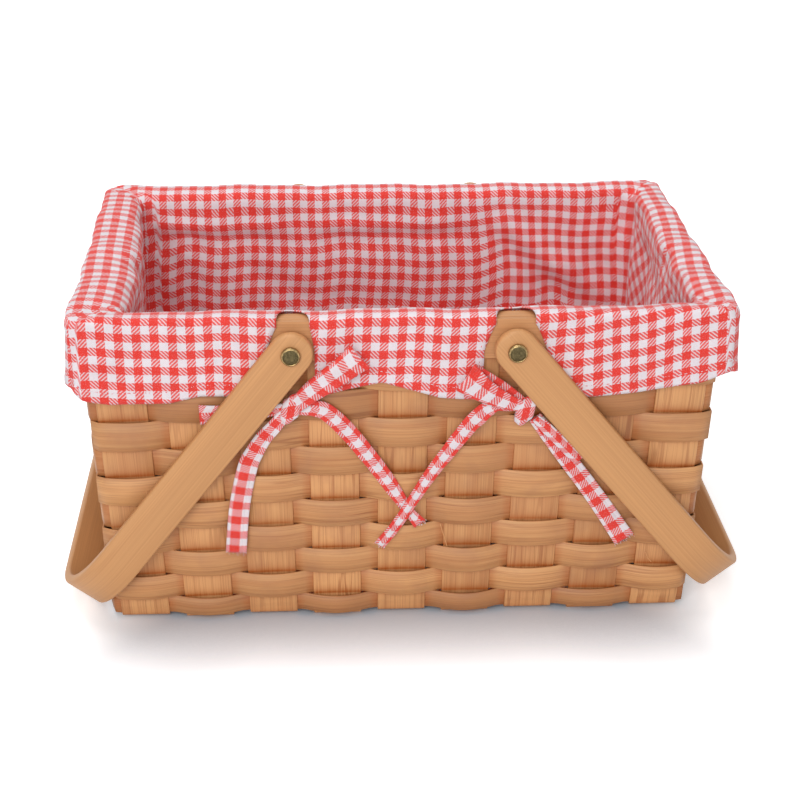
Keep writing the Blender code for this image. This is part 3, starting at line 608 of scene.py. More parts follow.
def upright_distances(z):
    """Distance round the ring of each upright, counter-clockwise from the front left."""
    size = basket()
    half_x, half_y = half_length(z), half_depth(z)
    distances, places, _ = ring_at(z)
    cross = [cross_place(i) * half_x / half_length(0) for i in range(1, size.cross_stakes + 1)]
    long = [long_place(i) * half_y / half_depth(0) for i in range(1, size.long_stakes + 1)]
    found = []
    for axis, run, spots in (
        (0, 1, [(x, -half_y) for x in cross]),
        (1, 1, [(half_x, y) for y in long]),
        (0, -1, [(x, half_y) for x in reversed(cross)]),
        (1, -1, [(-half_x, y) for y in reversed(long)]),
    ):
        for spot in spots:
            near = int(np.argmin(np.hypot(*(places - spot).T)))
            found.append(distances[near] + run * (spot[axis] - places[near][axis]))
    return found


def weaver_path(z, uprights, row, first, spans, uneven, base, total):
    """A strip from upright to upright: (distance round, offset, lift, extra width, shade and stain)."""
    count = len(uprights)
    fullness, lifts = uneven
    shares = WEAVER_SHARES
    path = []
    for span in range(spans):
        here = uprights[(first + span) % count]
        there = uprights[(first + span + 1) % count]
        there += total if there < here else 0
        side = 1 if ((first + span) % count + 1 + row) % 2 == 1 else -1
        for step in range(SPAN_STEPS):
            part = step / SPAN_STEPS
            turn = side * math.cos(math.pi * part)
            outer = max(0.0, turn)
            full = fullness[span] if side > 0 else fullness[span + 1]
            offset = side * math.tanh(SWING * math.cos(math.pi * part)) / math.tanh(SWING)
            offset = offset * weave_offset() + bulge_at(z) * full * outer**1.3
            lift = lifts[span] + (lifts[span + 1] - lifts[span]) * part
            lift -= SAG * outer * full * (1.4 - z / rim_bottom())
            # A strip is pinched where it slips behind an upright, and full in front of one.
            wide = base * (shares["width"] + shares["front"] * outer)
            # Painted shade, with some stain, where the strip goes behind an upright; its hidden end
            # gets it too.
            tuck = shares["tuck"] * smooth_step((0.10 - turn) / 0.40)
            path.append(((here + (there - here) * part) % total, offset, lift, wide - 1, tuck))
    last = uprights[(first + spans) % count]
    path.append((last, -weave_offset(), lifts[-1], base * shares["width"] - 1, shares["end"]))
    return path


def weaver_rails(rails, row, chance):
    """The strips of one row, each as a rail from behind one upright to behind another."""
    size = basket()
    low = max(row_top(row - 1), FIRST_ROW_FOOT) + size.row_gap / 2
    high = row_top(row) - size.row_gap / 2
    z = (low + high) / 2
    distances, places, outs = ring_at(z)
    total = distances[-1]
    uprights = upright_distances(z)
    count = len(uprights)
    hidden = [n for n in range(count) if (n + 1 + row) % 2 == 0]
    starts = sorted(hidden[(row * 3 + start) % len(hidden)] for start in STRIP_STARTS)
    for first, last in zip(starts, starts[1:] + starts[:1]):
        spans = (last - first) % count or count
        fullness = [chance.uniform(*FULLNESS) for _ in range(spans + 1)]
        lifts = [chance.uniform(*LIFTS) for _ in range(spans + 1)]
        corners = [chance.uniform(*CORNER_BULGES) for _ in range(3)]
        strip = chance.uniform(0, 40)
        tone = chance.gauss(*WEAVER_TONE)
        base = (high - low) / size.stake_width
        path = weaver_path(z, uprights, row, first, spans, (fullness, lifts), base, total)
        points, rises = [], []
        for spot, offset, lift, _, _ in path:
            x, y = (np.interp(spot, distances, places[:, k]) for k in (0, 1))
            out_x, out_y = (np.interp(spot, distances, outs[:, k]) for k in (0, 1))
            out = Vector((out_x, out_y, 0)).normalized()
            # A strip doesn't turn a corner as tightly as the stakes beside it stand.
            offset += corners[int(2 * spot / total)] * 2 * abs(out.x * out.y)
            points.append(Vector((x, y, z + lift)) + out * offset)
            flare = size.length_flare * abs(out.x) + size.depth_flare * abs(out.y)
            rises.append((UP + out * flare).normalized())
        tall = [place[3] for place in path]
        tuck = [place[4] for place in path]
        rails.add_splint(points, rises, tall=tall, strip=strip, tone=tone, tuck=tuck)


def fraction_row(height):
    """How many rows of weaving lie below a height."""
    low, high = 0.0, float(basket().rows) * 1.3
    for _ in range(30):
        middle = (low + high) / 2
        if row_top(middle) < height:
            low = middle
        else:
            high = middle
    return low


def stake_stain_and_shade(row, upright):
    """How much stain and painted shade a stake gets at a row, beside the strips that it slips behind.
    """
    below = math.floor(row)
    if (upright + below + 1) % 2 or row >= basket().rows:
        return 0.0
    tall = row_top(below + 1) - row_top(below)
    ends = (row - below, 1 - (row - below))
    shade_and_stain = sum(dark * math.exp(-part * tall / long) for part, (dark, long) in zip(ends, STAIN_AND_SHADE_FADES))
    return min(shade_and_stain, 1.0)


def stake_wall(side, level, reach, upright):
    """A stake from its top down one wall and round the foot: (along, height, stain and painted shade).
    """
    size = basket()
    top, foot = size.rim_top - STAKE_TOP, level + STAKE_BEND
    steps = STAKE_STEPS * size.rows
    wall = []
    for step in range(steps + 1):
        height = foot + (top - foot) * (1 - step / steps)
        row = fraction_row(height)
        wave = 0.0
        if height > foot + STAKE_FOOT_FLAT:
            wave = STAKE_WAVE * math.cos(math.pi * (row + 0.5 + upright))
            wave *= 1 - smooth_step((height - rim_bottom() + 0.012) / 0.01)
        wall.append((side * (reach(height) + wave), height, stake_stain_and_shade(row, upright)))
    for step in range(1, 4):
        turn = step / 4 * math.pi / 2
        out = reach(foot) - STAKE_BEND * (1 - math.cos(turn))
        wall.append((side * out, level + STAKE_BEND * (1 - math.sin(turn)), FOOT_STAIN_AND_SHADE))
    return wall


def stake_line(places, levels, reach, uprights):
    """A stake in its own plane from top to top, over and under the others at the bottom."""
    edge = basket().stake_width / 2 + STAKE_EDGE_GAP
    span = reach(STAKE_BEND_LEVEL) - STAKE_BEND
    bottom = []
    for step in range(161):
        along = -span + 2 * span * step / 160
        height = levels[0]
        for place, after, level, following in zip(places, places[1:], levels, levels[1:]):
            part = (along - place - edge) / max(after - place - 2 * edge, 1e-6)
            if part > 0:
                height = level + (following - level) * smooth_step(part)
        bottom.append((along, height, 0.0))
    start = stake_wall(-1, levels[0], reach, uprights[0])
    end = stake_wall(1, levels[-1], reach, uprights[1])
    return start + bottom + end[::-1]


def stake_rails(rails, chance):
    size = basket()
    front, side = size.cross_stakes, size.long_stakes
    crosses = [cross_place(i) for i in range(1, front + 1)]
    longs = [long_place(i) for i in range(1, side + 1)]
    low = size.stake_thickness / 2
    high = low + size.stake_thickness + GAP
    x_axis, y_axis = Vector((1, 0, 0)), Vector((0, 1, 0))
    for own, others, reach, half, out, across in (
        (crosses, longs, half_depth, half_length, y_axis, x_axis),
        (longs, crosses, half_length, half_depth, x_axis, y_axis),
    ):
        crossing = own is crosses
        for index, place in enumerate(own, 1):
            levels = [
                high if ((index + other) % 2 == 0) == crossing else low
                for other in range(1, len(others) + 1)
            ]
            if crossing:
                uprights = (index, 2 * front + side + 1 - index)
            else:
                uprights = (2 * front + 2 * side + 1 - index, front + index)
            line = stake_line(others, levels, reach, uprights)
            points = [
                out * along + across * (place * half(height) / half(0)) + UP * height
                for along, height, _ in line
            ]
            rails.add_splint(
                points,
                [across] * len(points),
                tall=0.0,
                strip=chance.uniform(40, 90),
                tone=chance.gauss(*STAKE_TONE),
                tuck=[shade_and_stain for _, _, shade_and_stain in line],
            )


class BuildWeaving(Operator):
    """Weavers go round in front of and behind the stakes, and both are swept along rails."""

    bl_idname = "basket.weaving"
    bl_label = "Weaving"

    def execute(self, context):
        size = basket()
        chance = random.Random(size.seed)
        tree = sweep_tree()
        look = splint_look()
        rails = Rails()
        for row in range(1, size.rows + 1):
            weaver_rails(rails, row, chance)
        weavers = grow(
            "woven_splints",
            rails.mesh("woven_splints_rails"),
            tree,
            width=size.stake_width,
            thickness=size.weaver_thickness,
            edge_radius=0.00035,
            waviness=size.waviness,
            seed=size.seed,
            material=look,
        )
        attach(weavers, "basket")
        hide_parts(*[f"weaver_{row:02d}" for row in range(1, size.rows + 1)])
        rails = Rails()
        stake_rails(rails, chance)
        stakes = grow(
            "stake_splints",
            rails.mesh("stake_splints_rails"),
            tree,
            width=size.stake_width,
            thickness=size.stake_thickness,
            edge_radius=0.0004,
            waviness=size.waviness * 0.6,
            seed=size.seed + 1,
            material=look,
        )
        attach(stakes, "basket")
        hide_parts(*[f"cross_stake_{i}" for i in range(1, size.cross_stakes + 1)])
        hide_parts(*[f"long_stake_{i}" for i in range(1, size.long_stakes + 1)])
        rails = Rails()
        for side in (-1, 1):
            for line in SPLINTERS:
                points = [
                    (-side * x * MM, side * (half_depth(z * MM) + out * MM), z * MM)
                    for x, z, out in line
                ]
                rails.add(points, tone=1.0)
        fibres = grow(
            "loose_fibres",
            rails.mesh("loose_fibres_rails"),
            thread_tree(),
            radius=0.00022,
            material=look,
        )
        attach(fibres, "basket")
        return {"FINISHED"}


# Materials


def grain_group():
    """Fine streaks, broad bands and a few wandering growth lines along a piece of wood."""
    name = "Wood grain"
    if name in bpy.data.node_groups:
        return bpy.data.node_groups[name]
    tree, wires, given, result = new_group(
        name,
        "ShaderNodeTree",
        (
            ("Along", FLOAT, 0.0),
            ("Across", FLOAT, 0.0),
            ("Strip", FLOAT, 0.0),
            ("Streaks", FLOAT, 1250.0),
            ("Length", FLOAT, 14.0),
        ),
        (("Streak", FLOAT), ("Band", FLOAT), ("Line", FLOAT), ("Height", FLOAT)),
    )
    strip = given["Strip"]
    along = wires.times(given["Along"], given["Length"])
    streaks = wires.times(given["Across"], given["Streaks"])
    fine = wires.noise(wires.joined(along, streaks, strip), detail=3.0, rough=0.6)
    slow = wires.times(along, 0.45)
    band = wires.noise(wires.joined(slow, wires.times(streaks, 0.16), strip))
    wander = wires.noise(wires.joined(along, 0.0, strip), detail=1.0)
    phase = wires.math("MULTIPLY_ADD", wander, 9.0, wires.times(streaks, 0.30))
    wave = wires.math("SINE", wires.plus(phase, wires.times(band, 14.0)))
    line = wires.math("POWER", wires.spread(wave, 0.60, 1.0), 2.5)
    patch = wires.noise(wires.joined(slow, 0.0, wires.plus(strip, 5.0)))
    line = wires.times(line, wires.spread(patch, 0.42, 0.62))
    height = wires.minus(fine, wires.times(line, 0.5))
    for socket, value in zip(result, (fine, band, line, height)):
        wires.feed(socket, value)
    return tree


def check_group():
    """Woven check: red and white bands both ways, with a fine diagonal hatch where they cross."""
    name = "Woven check"
    if name in bpy.data.node_groups:
        return bpy.data.node_groups[name]
    tree, wires, given, result = new_group(
        name,
        "ShaderNodeTree",
        (
            ("Across", FLOAT, 0.0),
            ("Down", FLOAT, 0.0),
            ("Repeat", FLOAT, 0.01),
            ("Thread", FLOAT, 0.0021),
        ),
        (("Red", FLOAT), ("Height", FLOAT)),
    )
    across, down = given["Across"], given["Down"]
    wave = wires.noise(wires.joined(wires.times(across, 160.0), wires.times(down, 160.0)), 1.0)
    nudge = wires.times(wires.minus(wave, 0.5), 0.0004)
    # Single threads wander, so that no hatch is quite even and the plain squares are flecked.
    fleck = wires.noise(wires.scaled(wires.joined(across, down), 1500.0), 1.0)
    loose = wires.spread(fleck, 0.25, 0.75, -0.65, 0.65)
    turns = wires.math("DIVIDE", math.tau, given["Thread"])

    def band(value):
        part = wires.math("FRACT", wires.math("DIVIDE", wires.plus(value, nudge), given["Repeat"]))
        return wires.spread(wires.math("ABSOLUTE", wires.minus(part, 0.5)), 0.24, 0.26)

    def ridges(value, closer=1.0):
        return wires.math("SINE", wires.times(value, wires.times(turns, closer)))

    columns, rows = band(across), band(down)
    both = wires.times(columns, rows)

    def hatch(value, where):
        lines = wires.spread(wires.plus(ridges(value), loose), -0.75, 0.02, 0.19, 0.91)
        return wires.times(wires.minus(where, both), lines)

    falling = hatch(wires.plus(across, down), columns)
    rising = hatch(wires.minus(across, down), rows)
    red = wires.plus(both, wires.plus(falling, rising))
    worn = wires.spread(fleck, 0.50, 0.80, 0.0, 0.32)
    wires.feed(result[0], wires.math("MULTIPLY_ADD", wires.minus(0.5, red), worn, red))
    wires.feed(result[1], wires.times(ridges(across, 1.7), ridges(down, 1.7)))
    return tree


def new_look(name):
    look = bpy.data.materials.new(name)
    look.use_nodes = True
    return look, Wiring(look.node_tree), look.node_tree.nodes["Principled BSDF"]


def surface(wires, shader, paint, roughness, height, strength, depth):
    """Feeds a material's colour, roughness and relief, with the relief's depth in metres."""
    wires.feed(shader.inputs["Base Color"], paint)
    wires.feed(shader.inputs["Roughness"], roughness)
    relief = {"Height": height, "Strength": strength, "Distance": depth}
    wires.feed(shader.inputs["Normal"], wires.out("ShaderNodeBump", relief))


def rgba(paint, *tints):
    """A colour with its alpha, each of its channels times a tint."""
    return (*(value * tint for value, tint in zip(paint, tints or (1.0, 1.0, 1.0))), 1.0)


def splint_look():
    """Thin plain wood, with painted orange-brown shade and some stain where one splint goes behind
    another.
    """
    look, wires, shader = new_look("woodchip_splint")
    paint = finishes()
    strip, tone, tuck = (wires.value(label) for label in ("strip", "tone", "tuck"))
    along, across = wires.value("along"), wires.value("across")
    grain = wires.group(grain_group(), along=along, across=across, strip=strip)
    streak = grain["Streak"]
    band = wires.math("MULTIPLY_ADD", tone, 0.5, grain["Band"])
    base = wires.mix(wires.spread(band, 0.25, 0.75), rgba(paint.splint), rgba(paint.splint_pale))
    dark = rgba(paint.splint_dark)
    base = wires.mix(wires.spread(streak, 0.52, 0.30, 0.0, 0.50), base, dark)
    base = wires.mix(wires.times(grain["Line"], 0.72), base, dark)
    place = wires.place()
    blotch = wires.noise(place, detail=3.0, scale=42.0)
    grey = wires.times(wires.spread(blotch, 0.52, 0.75), 0.45)
    base = wires.mix(grey, base, rgba(paint.splint, 0.86, 0.86, 1.12))
    apart = wires.vector("ADD", place, wires.joined(strip, 0.0))
    broad = wires.noise(apart, detail=1.0, scale=17.0)
    warm = wires.times(wires.spread(broad, 0.50, 0.72), 0.40)
    base = wires.mix(warm, base, rgba(paint.splint, 0.82, 0.76, 0.82))
    bright = wires.math("MULTIPLY_ADD", tone, 0.20, wires.spread(blotch, 0.3, 0.7, 1.03, 0.93))
    base = wires.shaded(base, bright)
    ragged = wires.spread(streak, 0.3, 0.7, 1.25, 0.75)
    # Painted orange-brown shade, with some stain, where one splint goes behind another, ragged along
    # the grain.
    shade_and_stain = wires.math("MULTIPLY", wires.times(tuck, ragged), 0.95, clamp=True)
    base = wires.mix(shade_and_stain, base, rgba(paint.tucked))
    rough = wires.spread(streak, 0.2, 0.8, 0.46, 0.62)
    surface(wires, shader, base, rough, grain["Height"], 0.35, 0.0002)
    return look


def wood_look(name, pale, dark, streaks, length, roughness, axis=None):
    """Solid wood with its grain along a piece's own length, or along an axis of the object."""
    look, wires, shader = new_look(name)
    if axis is None:
        along, across, depth = wires.grain()
    else:
        place = wires.parted(wires.place())
        along, depth = place[axis], 0.5
        across = wires.plus(place[2], wires.times(place[1 - axis], 0.6))
    grain = wires.group(
        grain_group(), along=along, across=across, strip=depth, streaks=streaks, length=length
    )
    streak = grain["Streak"]
    base = wires.mix(wires.spread(streak, 0.66, 0.34, 0.0, 0.42), rgba(pale), rgba(dark))
    base = wires.mix(wires.times(grain["Line"], 0.22), base, rgba(dark))
    base = wires.shaded(base, wires.spread(grain["Band"], 0.3, 0.7, 0.95, 1.03))
    rough = wires.spread(streak, 0.2, 0.8, roughness - 0.07, roughness + 0.07)
    surface(wires, shader, base, rough, grain["Height"], 0.2, 0.00015)
    return look


def brass_look(name, tint, roughness, relief):
    """Old brass, blotched dark."""
    look, wires, shader = new_look(name)
    place = wires.place()
    blotch = wires.noise(place, detail=4.0, rough=0.65, scale=700.0)
    speck = wires.noise(place, scale=2600.0)
    worn = wires.spread(blotch, 0.38, 0.62, 0.0, 0.75)
    base = wires.mix(worn, rgba(tint), rgba(tint, 0.35, 0.35, 0.35))
    rough = wires.spread(speck, 0.3, 0.7, roughness - 0.06, roughness + 0.1)
    shader.inputs["Metallic"].default_value = 1.0
    surface(wires, shader, base, rough, blotch, relief, 0.0004)
    return look


def cloth_look(name, fuzz, thread):
    """Checked cotton that follows the marks of its piece."""
    look, wires, shader = new_look(name)
    across, down, _ = wires.grain()
    size, paint = cloth(), finishes()
    check = wires.group(
        check_group(), across=across, down=down, repeat=size.check, thread=thread
    )
    base = wires.mix(check["Red"], rgba(paint.white), rgba(paint.red))
    blotch = wires.noise(wires.place(), detail=3.0, scale=90.0)
    base = wires.shaded(base, wires.spread(blotch, 0.3, 0.7, 0.94, 1.04))
    shader.inputs["Sheen Weight"].default_value = fuzz
    shader.inputs["Sheen Roughness"].default_value = 0.5
    surface(wires, shader, base, 0.9, check["Height"], 0.35, 0.00015)
    return look


def yarn_look():
    """Loose threads of the cloth, some red and some white."""
    look, wires, shader = new_look("loose_yarn")
    paint = finishes()
    place = wires.place()
    patch = wires.spread(wires.noise(place, detail=1.0, scale=900.0), 0.50, 0.56)
    fuzz = wires.noise(place, detail=3.0, scale=4000.0)
    base = wires.mix(patch, rgba(paint.white), rgba(paint.red))
    base = wires.shaded(base, wires.spread(fuzz, 0.3, 0.7, 0.9, 1.05))
    surface(wires, shader, base, wires.spread(fuzz, 0.2, 0.8, 0.8, 0.95), fuzz, 0.3, 0.0001)
    return look


def refinish(obj, look):
    """Give a CAD node, whose shape is right, a better finish."""
    obj.data.materials.clear()
    obj.data.materials.append(look)


# Rim, handles and bolts

# Steps along a handle: round its end, up the leg, round the bend and along half the bar.
END_STEPS, LEG_STEPS, BEND_STEPS, BAR_STEPS = 14, 13, 26, 8
# How much of a round end is drawn, and how its last tenth thins.
END_SHARE = 0.985
END_THINNING = 0.35
BOLT_SIDES = 48
AXLE = 0.0001


class BuildRim(Operator):
    """The rim keeps its CAD shape. Its grain runs along each piece."""

    bl_idname = "basket.rim"
    bl_label = "Rim"

    def execute(self, context):
        paint = finishes()
        for axis, label, nodes in (
            (0, "rim_wood_long", ("outer_rim", "front_rim_batten", "back_rim_batten")),
            (1, "rim_wood_short", ("left_rim_batten", "right_rim_batten")),
        ):
            look = wood_look(label, paint.rim, paint.rim_dark, 1300.0, 9.0, 0.55, axis)
            for node in nodes:
                refinish(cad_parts[node], look)
        return {"FINISHED"}


def bar_section(half_width, half_thick, radius, steps=3):
    """Points round a bar's section, as (across, out)."""
    radius = min(radius, half_width * 0.95, half_thick * 0.95)
    section = []
    for sign_x, sign_y, start in ((1, 1, 0), (-1, 1, 1), (-1, -1, 2), (1, -1, 3)):
        for step in range(steps + 1):
            turn = (start + step / steps) * math.pi / 2
            across = sign_x * (half_width - radius) + radius * math.cos(turn)
            section.append((across, sign_y * (half_thick - radius) + radius * math.sin(turn)))
    return section


def handle_stations():
    """Along a bent bar lying flat, from end to end: (place, outward, half width, thickness)."""
    size = handle()
    half_across = size.inner_half + size.thickness / 2
    reach = size.reach - size.thickness / 2
    radius = size.bend - size.thickness / 2
    end = size.width / 2
    aside, ahead = Vector((0, -1)), Vector((1, 0))
    leg = []
    for step in range(END_STEPS, -1, -1):
        turn = math.pi / 2 * (step / END_STEPS) * END_SHARE
        thin = 1 - END_THINNING * max(0, math.sin(turn) - 0.9) / 0.1
        place = Vector((-end * math.sin(turn), -half_across))
        leg.append((place, aside, end * math.cos(turn), thin))
    for step in range(1, LEG_STEPS):
        place = Vector(((reach - radius) * step / LEG_STEPS, -half_across))
        leg.append((place, aside, end, 1))
    for step in range(BEND_STEPS + 1):
        turn = math.pi / 2 * step / BEND_STEPS
        out = Vector((math.sin(turn), -math.cos(turn)))
        leg.append((Vector((reach - radius, radius - half_across)) + out * radius, out, end, 1))
    for step in range(1, BAR_STEPS):
        place = Vector((reach, (radius - half_across) * (1 - step / BAR_STEPS)))
        leg.append((place, ahead, end, 1))
    back = [
        (Vector((p.x - (size.back_end if p.x <= 0 else 0), -p.y)), Vector((n.x, -n.y)), w, t)
        for p, n, w, t in reversed(leg)
    ]
    return leg + [(Vector((reach, 0)), ahead, end, 1)] + back


def handle_mesh(name, side, drop):
    size = handle()
    stations = handle_stations()
    turn = Matrix.Rotation(side * drop, 3, "Y")
    pivot = Vector((side * size.pivot_x, 0, size.pivot_z))
    rows, grain = [], []
    along = 0.0
    for i, (place, out, half_width, thin) in enumerate(stations):
        along += (place - stations[i - 1][0]).length if i else 0
        row, marks = [], []
        for across, depth in bar_section(half_width, size.thickness / 2 * thin, size.edge):
            spot = place + out * depth
            row.append(pivot + turn @ Vector((side * spot.x, spot.y, across)))
            marks.append((along, across, side * 3 + depth * 60))
        rows.append(row)
        grain.append(marks)
    return grid_mesh(name, rows, grain)


class BuildHandles(Operator):
    """Each handle is one bent bar with eased edges and round ends."""

    bl_idname = "basket.handles"
    bl_label = "Handles"

    def execute(self, context):
        paint = finishes()
        look = wood_look("handle_wood", paint.handle, paint.handle_dark, 1100.0, 6.0, 0.5)
        for name, side, drop in (
            ("left_handle", -1, handle().left_drop),
            ("right_handle", 1, handle().right_drop),
        ):
            bar = show(name + "_bar", handle_mesh(name + "_bar", side, drop), look)
            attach(bar, name)
            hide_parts(name)
        return {"FINISHED"}


def lathe(name, profile, centre, facing):
    """A turned piece on the hinge line. The profile is (radius, distance out)."""
    rows = []
    for radius, height in profile:
        turns = [math.tau * step / BOLT_SIDES for step in range(BOLT_SIDES)]
        rows.append(
            [
                Vector((radius * math.cos(turn), facing * height, radius * math.sin(turn))) + centre
                for turn in turns
            ]
        )
    data = grid_mesh(name, rows)
    data.set_sharp_from_angle(angle=math.radians(40))
    return data


def bolt_profiles():
    """The raised ring of a head with its shank, and the flat middle that is set in it."""
    size = handle()
    head, top = size.head / 2, size.head_height
    ring = [(AXLE, -size.shank_length), (size.shank / 2, -size.shank_length), (size.shank / 2, 0.0)]
    ring += [
        (head - inward * MM, height)
        for inward, height in (
            (0.3, 0.0),
            (0.0, 0.4 * MM),
            (0.0, top - 1.2 * MM),
            (0.25, top - 0.5 * MM),
            (0.7, top - 0.1 * MM),
            (0.9, top),
            (1.1, top - 0.1 * MM),
            (1.3, top - 0.6 * MM),
        )
    ]
    ring.append((AXLE, top - 0.6 * MM))
    middle = [
        (AXLE, top - 0.8 * MM),
        (head - 1.2 * MM, top - 0.8 * MM),
        (head - 1.3 * MM, top - 0.55 * MM),
        (head - 2.0 * MM, top - 0.4 * MM),
        (2.2 * MM, top - 0.35 * MM),
        (AXLE, top - 0.3 * MM),
    ]
    return ring, middle


class BuildBolts(Operator):
    """A raised bright ring round a dull flat middle, on a plain shank. The rest is refinished."""

    bl_idname = "basket.bolts"
    bl_label = "Bolts"

    def execute(self, context):
        size = handle()
        paint = finishes()
        bright = brass_look("bright_brass", paint.brass, 0.3, 0.25)
        dull = brass_look("dull_brass", paint.brass_dark, 0.5, 0.8)
        ring, middle = bolt_profiles()
        seat = size.inner_half + size.thickness + GAP
        for name, side_x, side_y in (
            ("front_left", -1, -1),
            ("front_right", 1, -1),
            ("back_left", -1, 1),
            ("back_right", 1, 1),
        ):
            centre = Vector((side_x * size.pivot_x, side_y * seat, size.pivot_z))
            for part, profile, look in (("ring", ring, bright), ("middle", middle, dull)):
                label = f"{name}_bolt_{part}"
                piece = show(label, lathe(label, profile, centre, side_y), look)
                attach(piece, "basket")
                if part == "ring":
                    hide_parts(f"{name}_bolt")
            for label in (f"{name}_washer", f"{name}_cap_nut"):
                refinish(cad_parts[label], bright)
        return {"FINISHED"}


# Lining

WALLS = ("front", "right", "back", "left")
LONG_WALLS = ("front", "back")
# Which way each wall is walked along its axis, and on which side of the middle it stands.
RUNS = {"front": 1, "right": 1, "back": -1, "left": -1}
SIDES = {"front": -1, "right": 1, "back": 1, "left": -1}
# Rows up the inside, over the rim and down the outside.
WALL_ROWS, CREST_ROWS, SKIRT_ROWS = 48, 16, 24
EDGE_ROW = WALL_ROWS + CREST_ROWS
LAST_ROW = EDGE_ROW + SKIRT_ROWS
RIM_ROW = WALL_ROWS + 9
# Columns between the ends and slits of a long wall, along a short wall and round a corner.
LONG_STEPS, SHORT_STEPS, CORNER_STEPS = (36, 10, 42, 10, 36), (66,), 10
FLOOR_RINGS = 13
# How far the crest's inner edge stands in, its outer edge stands out and its top stands up,
# at the start, middle and end of each wall, in millimetres.
CREST_SHAPES = {
    "front": ((1.0, 1.2, 0.6), (0.3, 0.2, 0.2), (0.2, 0.0, 0.0), (0.3, 0.2, 0.4), (1.5, 1.5, 2.6)),
    "right": ((-3.0, 5.5, 2.6), (-1.8, 4.5, 0.4), (-1.2, 4.0, 0.0), (-2.0, 3.0, 0.2), (-3.2, 2.0, 1.0)),
    "back": ((-1.5, 1.0, 0.6), (0.0, 0.2, 0.0), (0.2, 0.0, 0.2), (0.5, 0.0, 0.6), (1.5, 1.0, 0.8)),
    "left": ((1.0, 4.0, 0.6), (7.0, 3.5, 0.0), (9.5, 2.5, 0.0), (11.0, 2.5, 0.0), (9.0, 3.5, 0.8)),
}
# Height of the front hem above the nominal one, from the left corner to the right, in millimetres.
FRONT_HEM = (
    (-187, 5.0), (-181, 1.5), (-167, -1.5), (-133, -1.5), (-116, 2.6), (-90, 2.6), (-75, 1.5),
    (-54, -0.6), (-34, 4.6), (-12.4, 9.6), (3.6, 4.6), (21, -0.8), (38, -2.2), (48, -2.2),
    (80, -2.0), (108, -1.6), (136, 1.0), (171, 6.6), (188, 14.0),
)
# How far each edge of a front slit stands from its hinge, at the rim and lower down, as shares
# of the slit's widths there.
SLIT_SHARES = {
    (-1, True): (0.42, 0.43),
    (-1, False): (0.58, 0.42),
    (1, False): (0.64, 0.57),
    (1, True): (0.57, 0.55),
}
# Straight creases of the inner back wall: depth, start, end and width.
BACK_CREASES = (
    (0.0050, (0.062, 0.192), (0.119, 0.146), 0.0075),
    (-0.0036, (0.052, 0.180), (0.112, 0.134), 0.0080),
    (0.0046, (0.119, 0.146), (0.160, 0.118), 0.0080),
    (-0.0030, (0.110, 0.132), (0.150, 0.104), 0.0080),
    (0.0022, (0.040, 0.196), (0.072, 0.160), 0.0060),
    (-0.0030, (-0.056, 0.124), (0.010, 0.120), 0.0050),
    (-0.0024, (-0.100, 0.150), (-0.060, 0.124), 0.0070),
)

Column = namedtuple("Column", "wall anchor share corner in_slit")


def axis_of(wall):
    return 0 if wall in LONG_WALLS else 1


def wall_after(wall, step=1):
    return WALLS[(WALLS.index(wall) + step) % 4]


def crest_shape(wall, share_along):
    """Inset, outset and lift of the crest, a share of the way round the wall."""
    shapes = np.array(CREST_SHAPES[wall]) / 1000
    return [np.interp(share_along, np.linspace(0, 1, len(shapes)), shapes[:, k]) for k in range(3)]


def drape(wall, share_along):
    """The cloth's (offset, height) from the floor's edge up the inside and over the rim."""
    inset, outset, lift = crest_shape(wall, share_along)
    wood = basket()
    top = wood.rim_top
    inner = wood.stake_thickness / 2 + GAP + wood.batten + 0.0009 + 0.0030 + GAP
    floor = 2.5 * wood.stake_thickness + 2 * GAP - wood.stake_thickness / 2 + 0.0006
    outer = wood.stake_thickness / 2 + GAP + wood.rim_thickness + GAP + cloth().thickness / 2
    return [
        (-inner - 0.0030, floor),
        (-inner - 0.0022 - 0.15 * inset, 0.050),
        (-inner - 0.0014 - 0.35 * inset, 0.110),
        (-inner - 0.0010 - 0.70 * inset, 0.152),
        (-inner - 0.0006 - inset, top - 0.0115 - 0.2 * inset),
        (-inner + 0.0016 - 0.8 * inset, top - 0.0008 - 0.12 * inset),
        (-0.0060 - 0.3 * inset, top + 0.0016 + 0.4 * lift),
        (outer - 0.0012 + 0.8 * outset, top + 0.0014 + lift),
        (outer + 0.0002 + outset, top - 0.0026 + 0.5 * lift),
    ]


def spline(points, place):
    """A smooth curve through points, at a place counted in points."""
    last = len(points) - 1
    i = min(int(place), last - 1)
    t = place - i
    p0, p1, p2, p3 = (np.array(points[k]) for k in (max(i - 1, 0), i, i + 1, min(i + 2, last)))
    bend = (2 * p0 - 5 * p1 + 4 * p2 - p3) * t**2 + (3 * p1 - p0 - 3 * p2 + p3) * t**3
    return 0.5 * (2 * p1 + (p2 - p0) * t + bend)


def row_kind(row):
    """Which part of the cloth a row is in, and the share of the way through it."""
    if row <= WALL_ROWS:
        return "wall", row / WALL_ROWS
    if row <= EDGE_ROW:
        return "crest", (row - WALL_ROWS) / CREST_ROWS
    return "skirt", (row - EDGE_ROW) / SKIRT_ROWS


def drape_at(wall, share_along, row):
    kind, part = row_kind(row)
    points = drape(wall, share_along)
    if kind == "skirt":
        return points[-1]
    return tuple(spline(points, part * 4 if kind == "wall" else 4 + part * 4))


def slit_start(wall):
    """The share of the crest that stays whole: the back slits only open past the batten."""
    return 0.40 if wall == "front" else 0.74


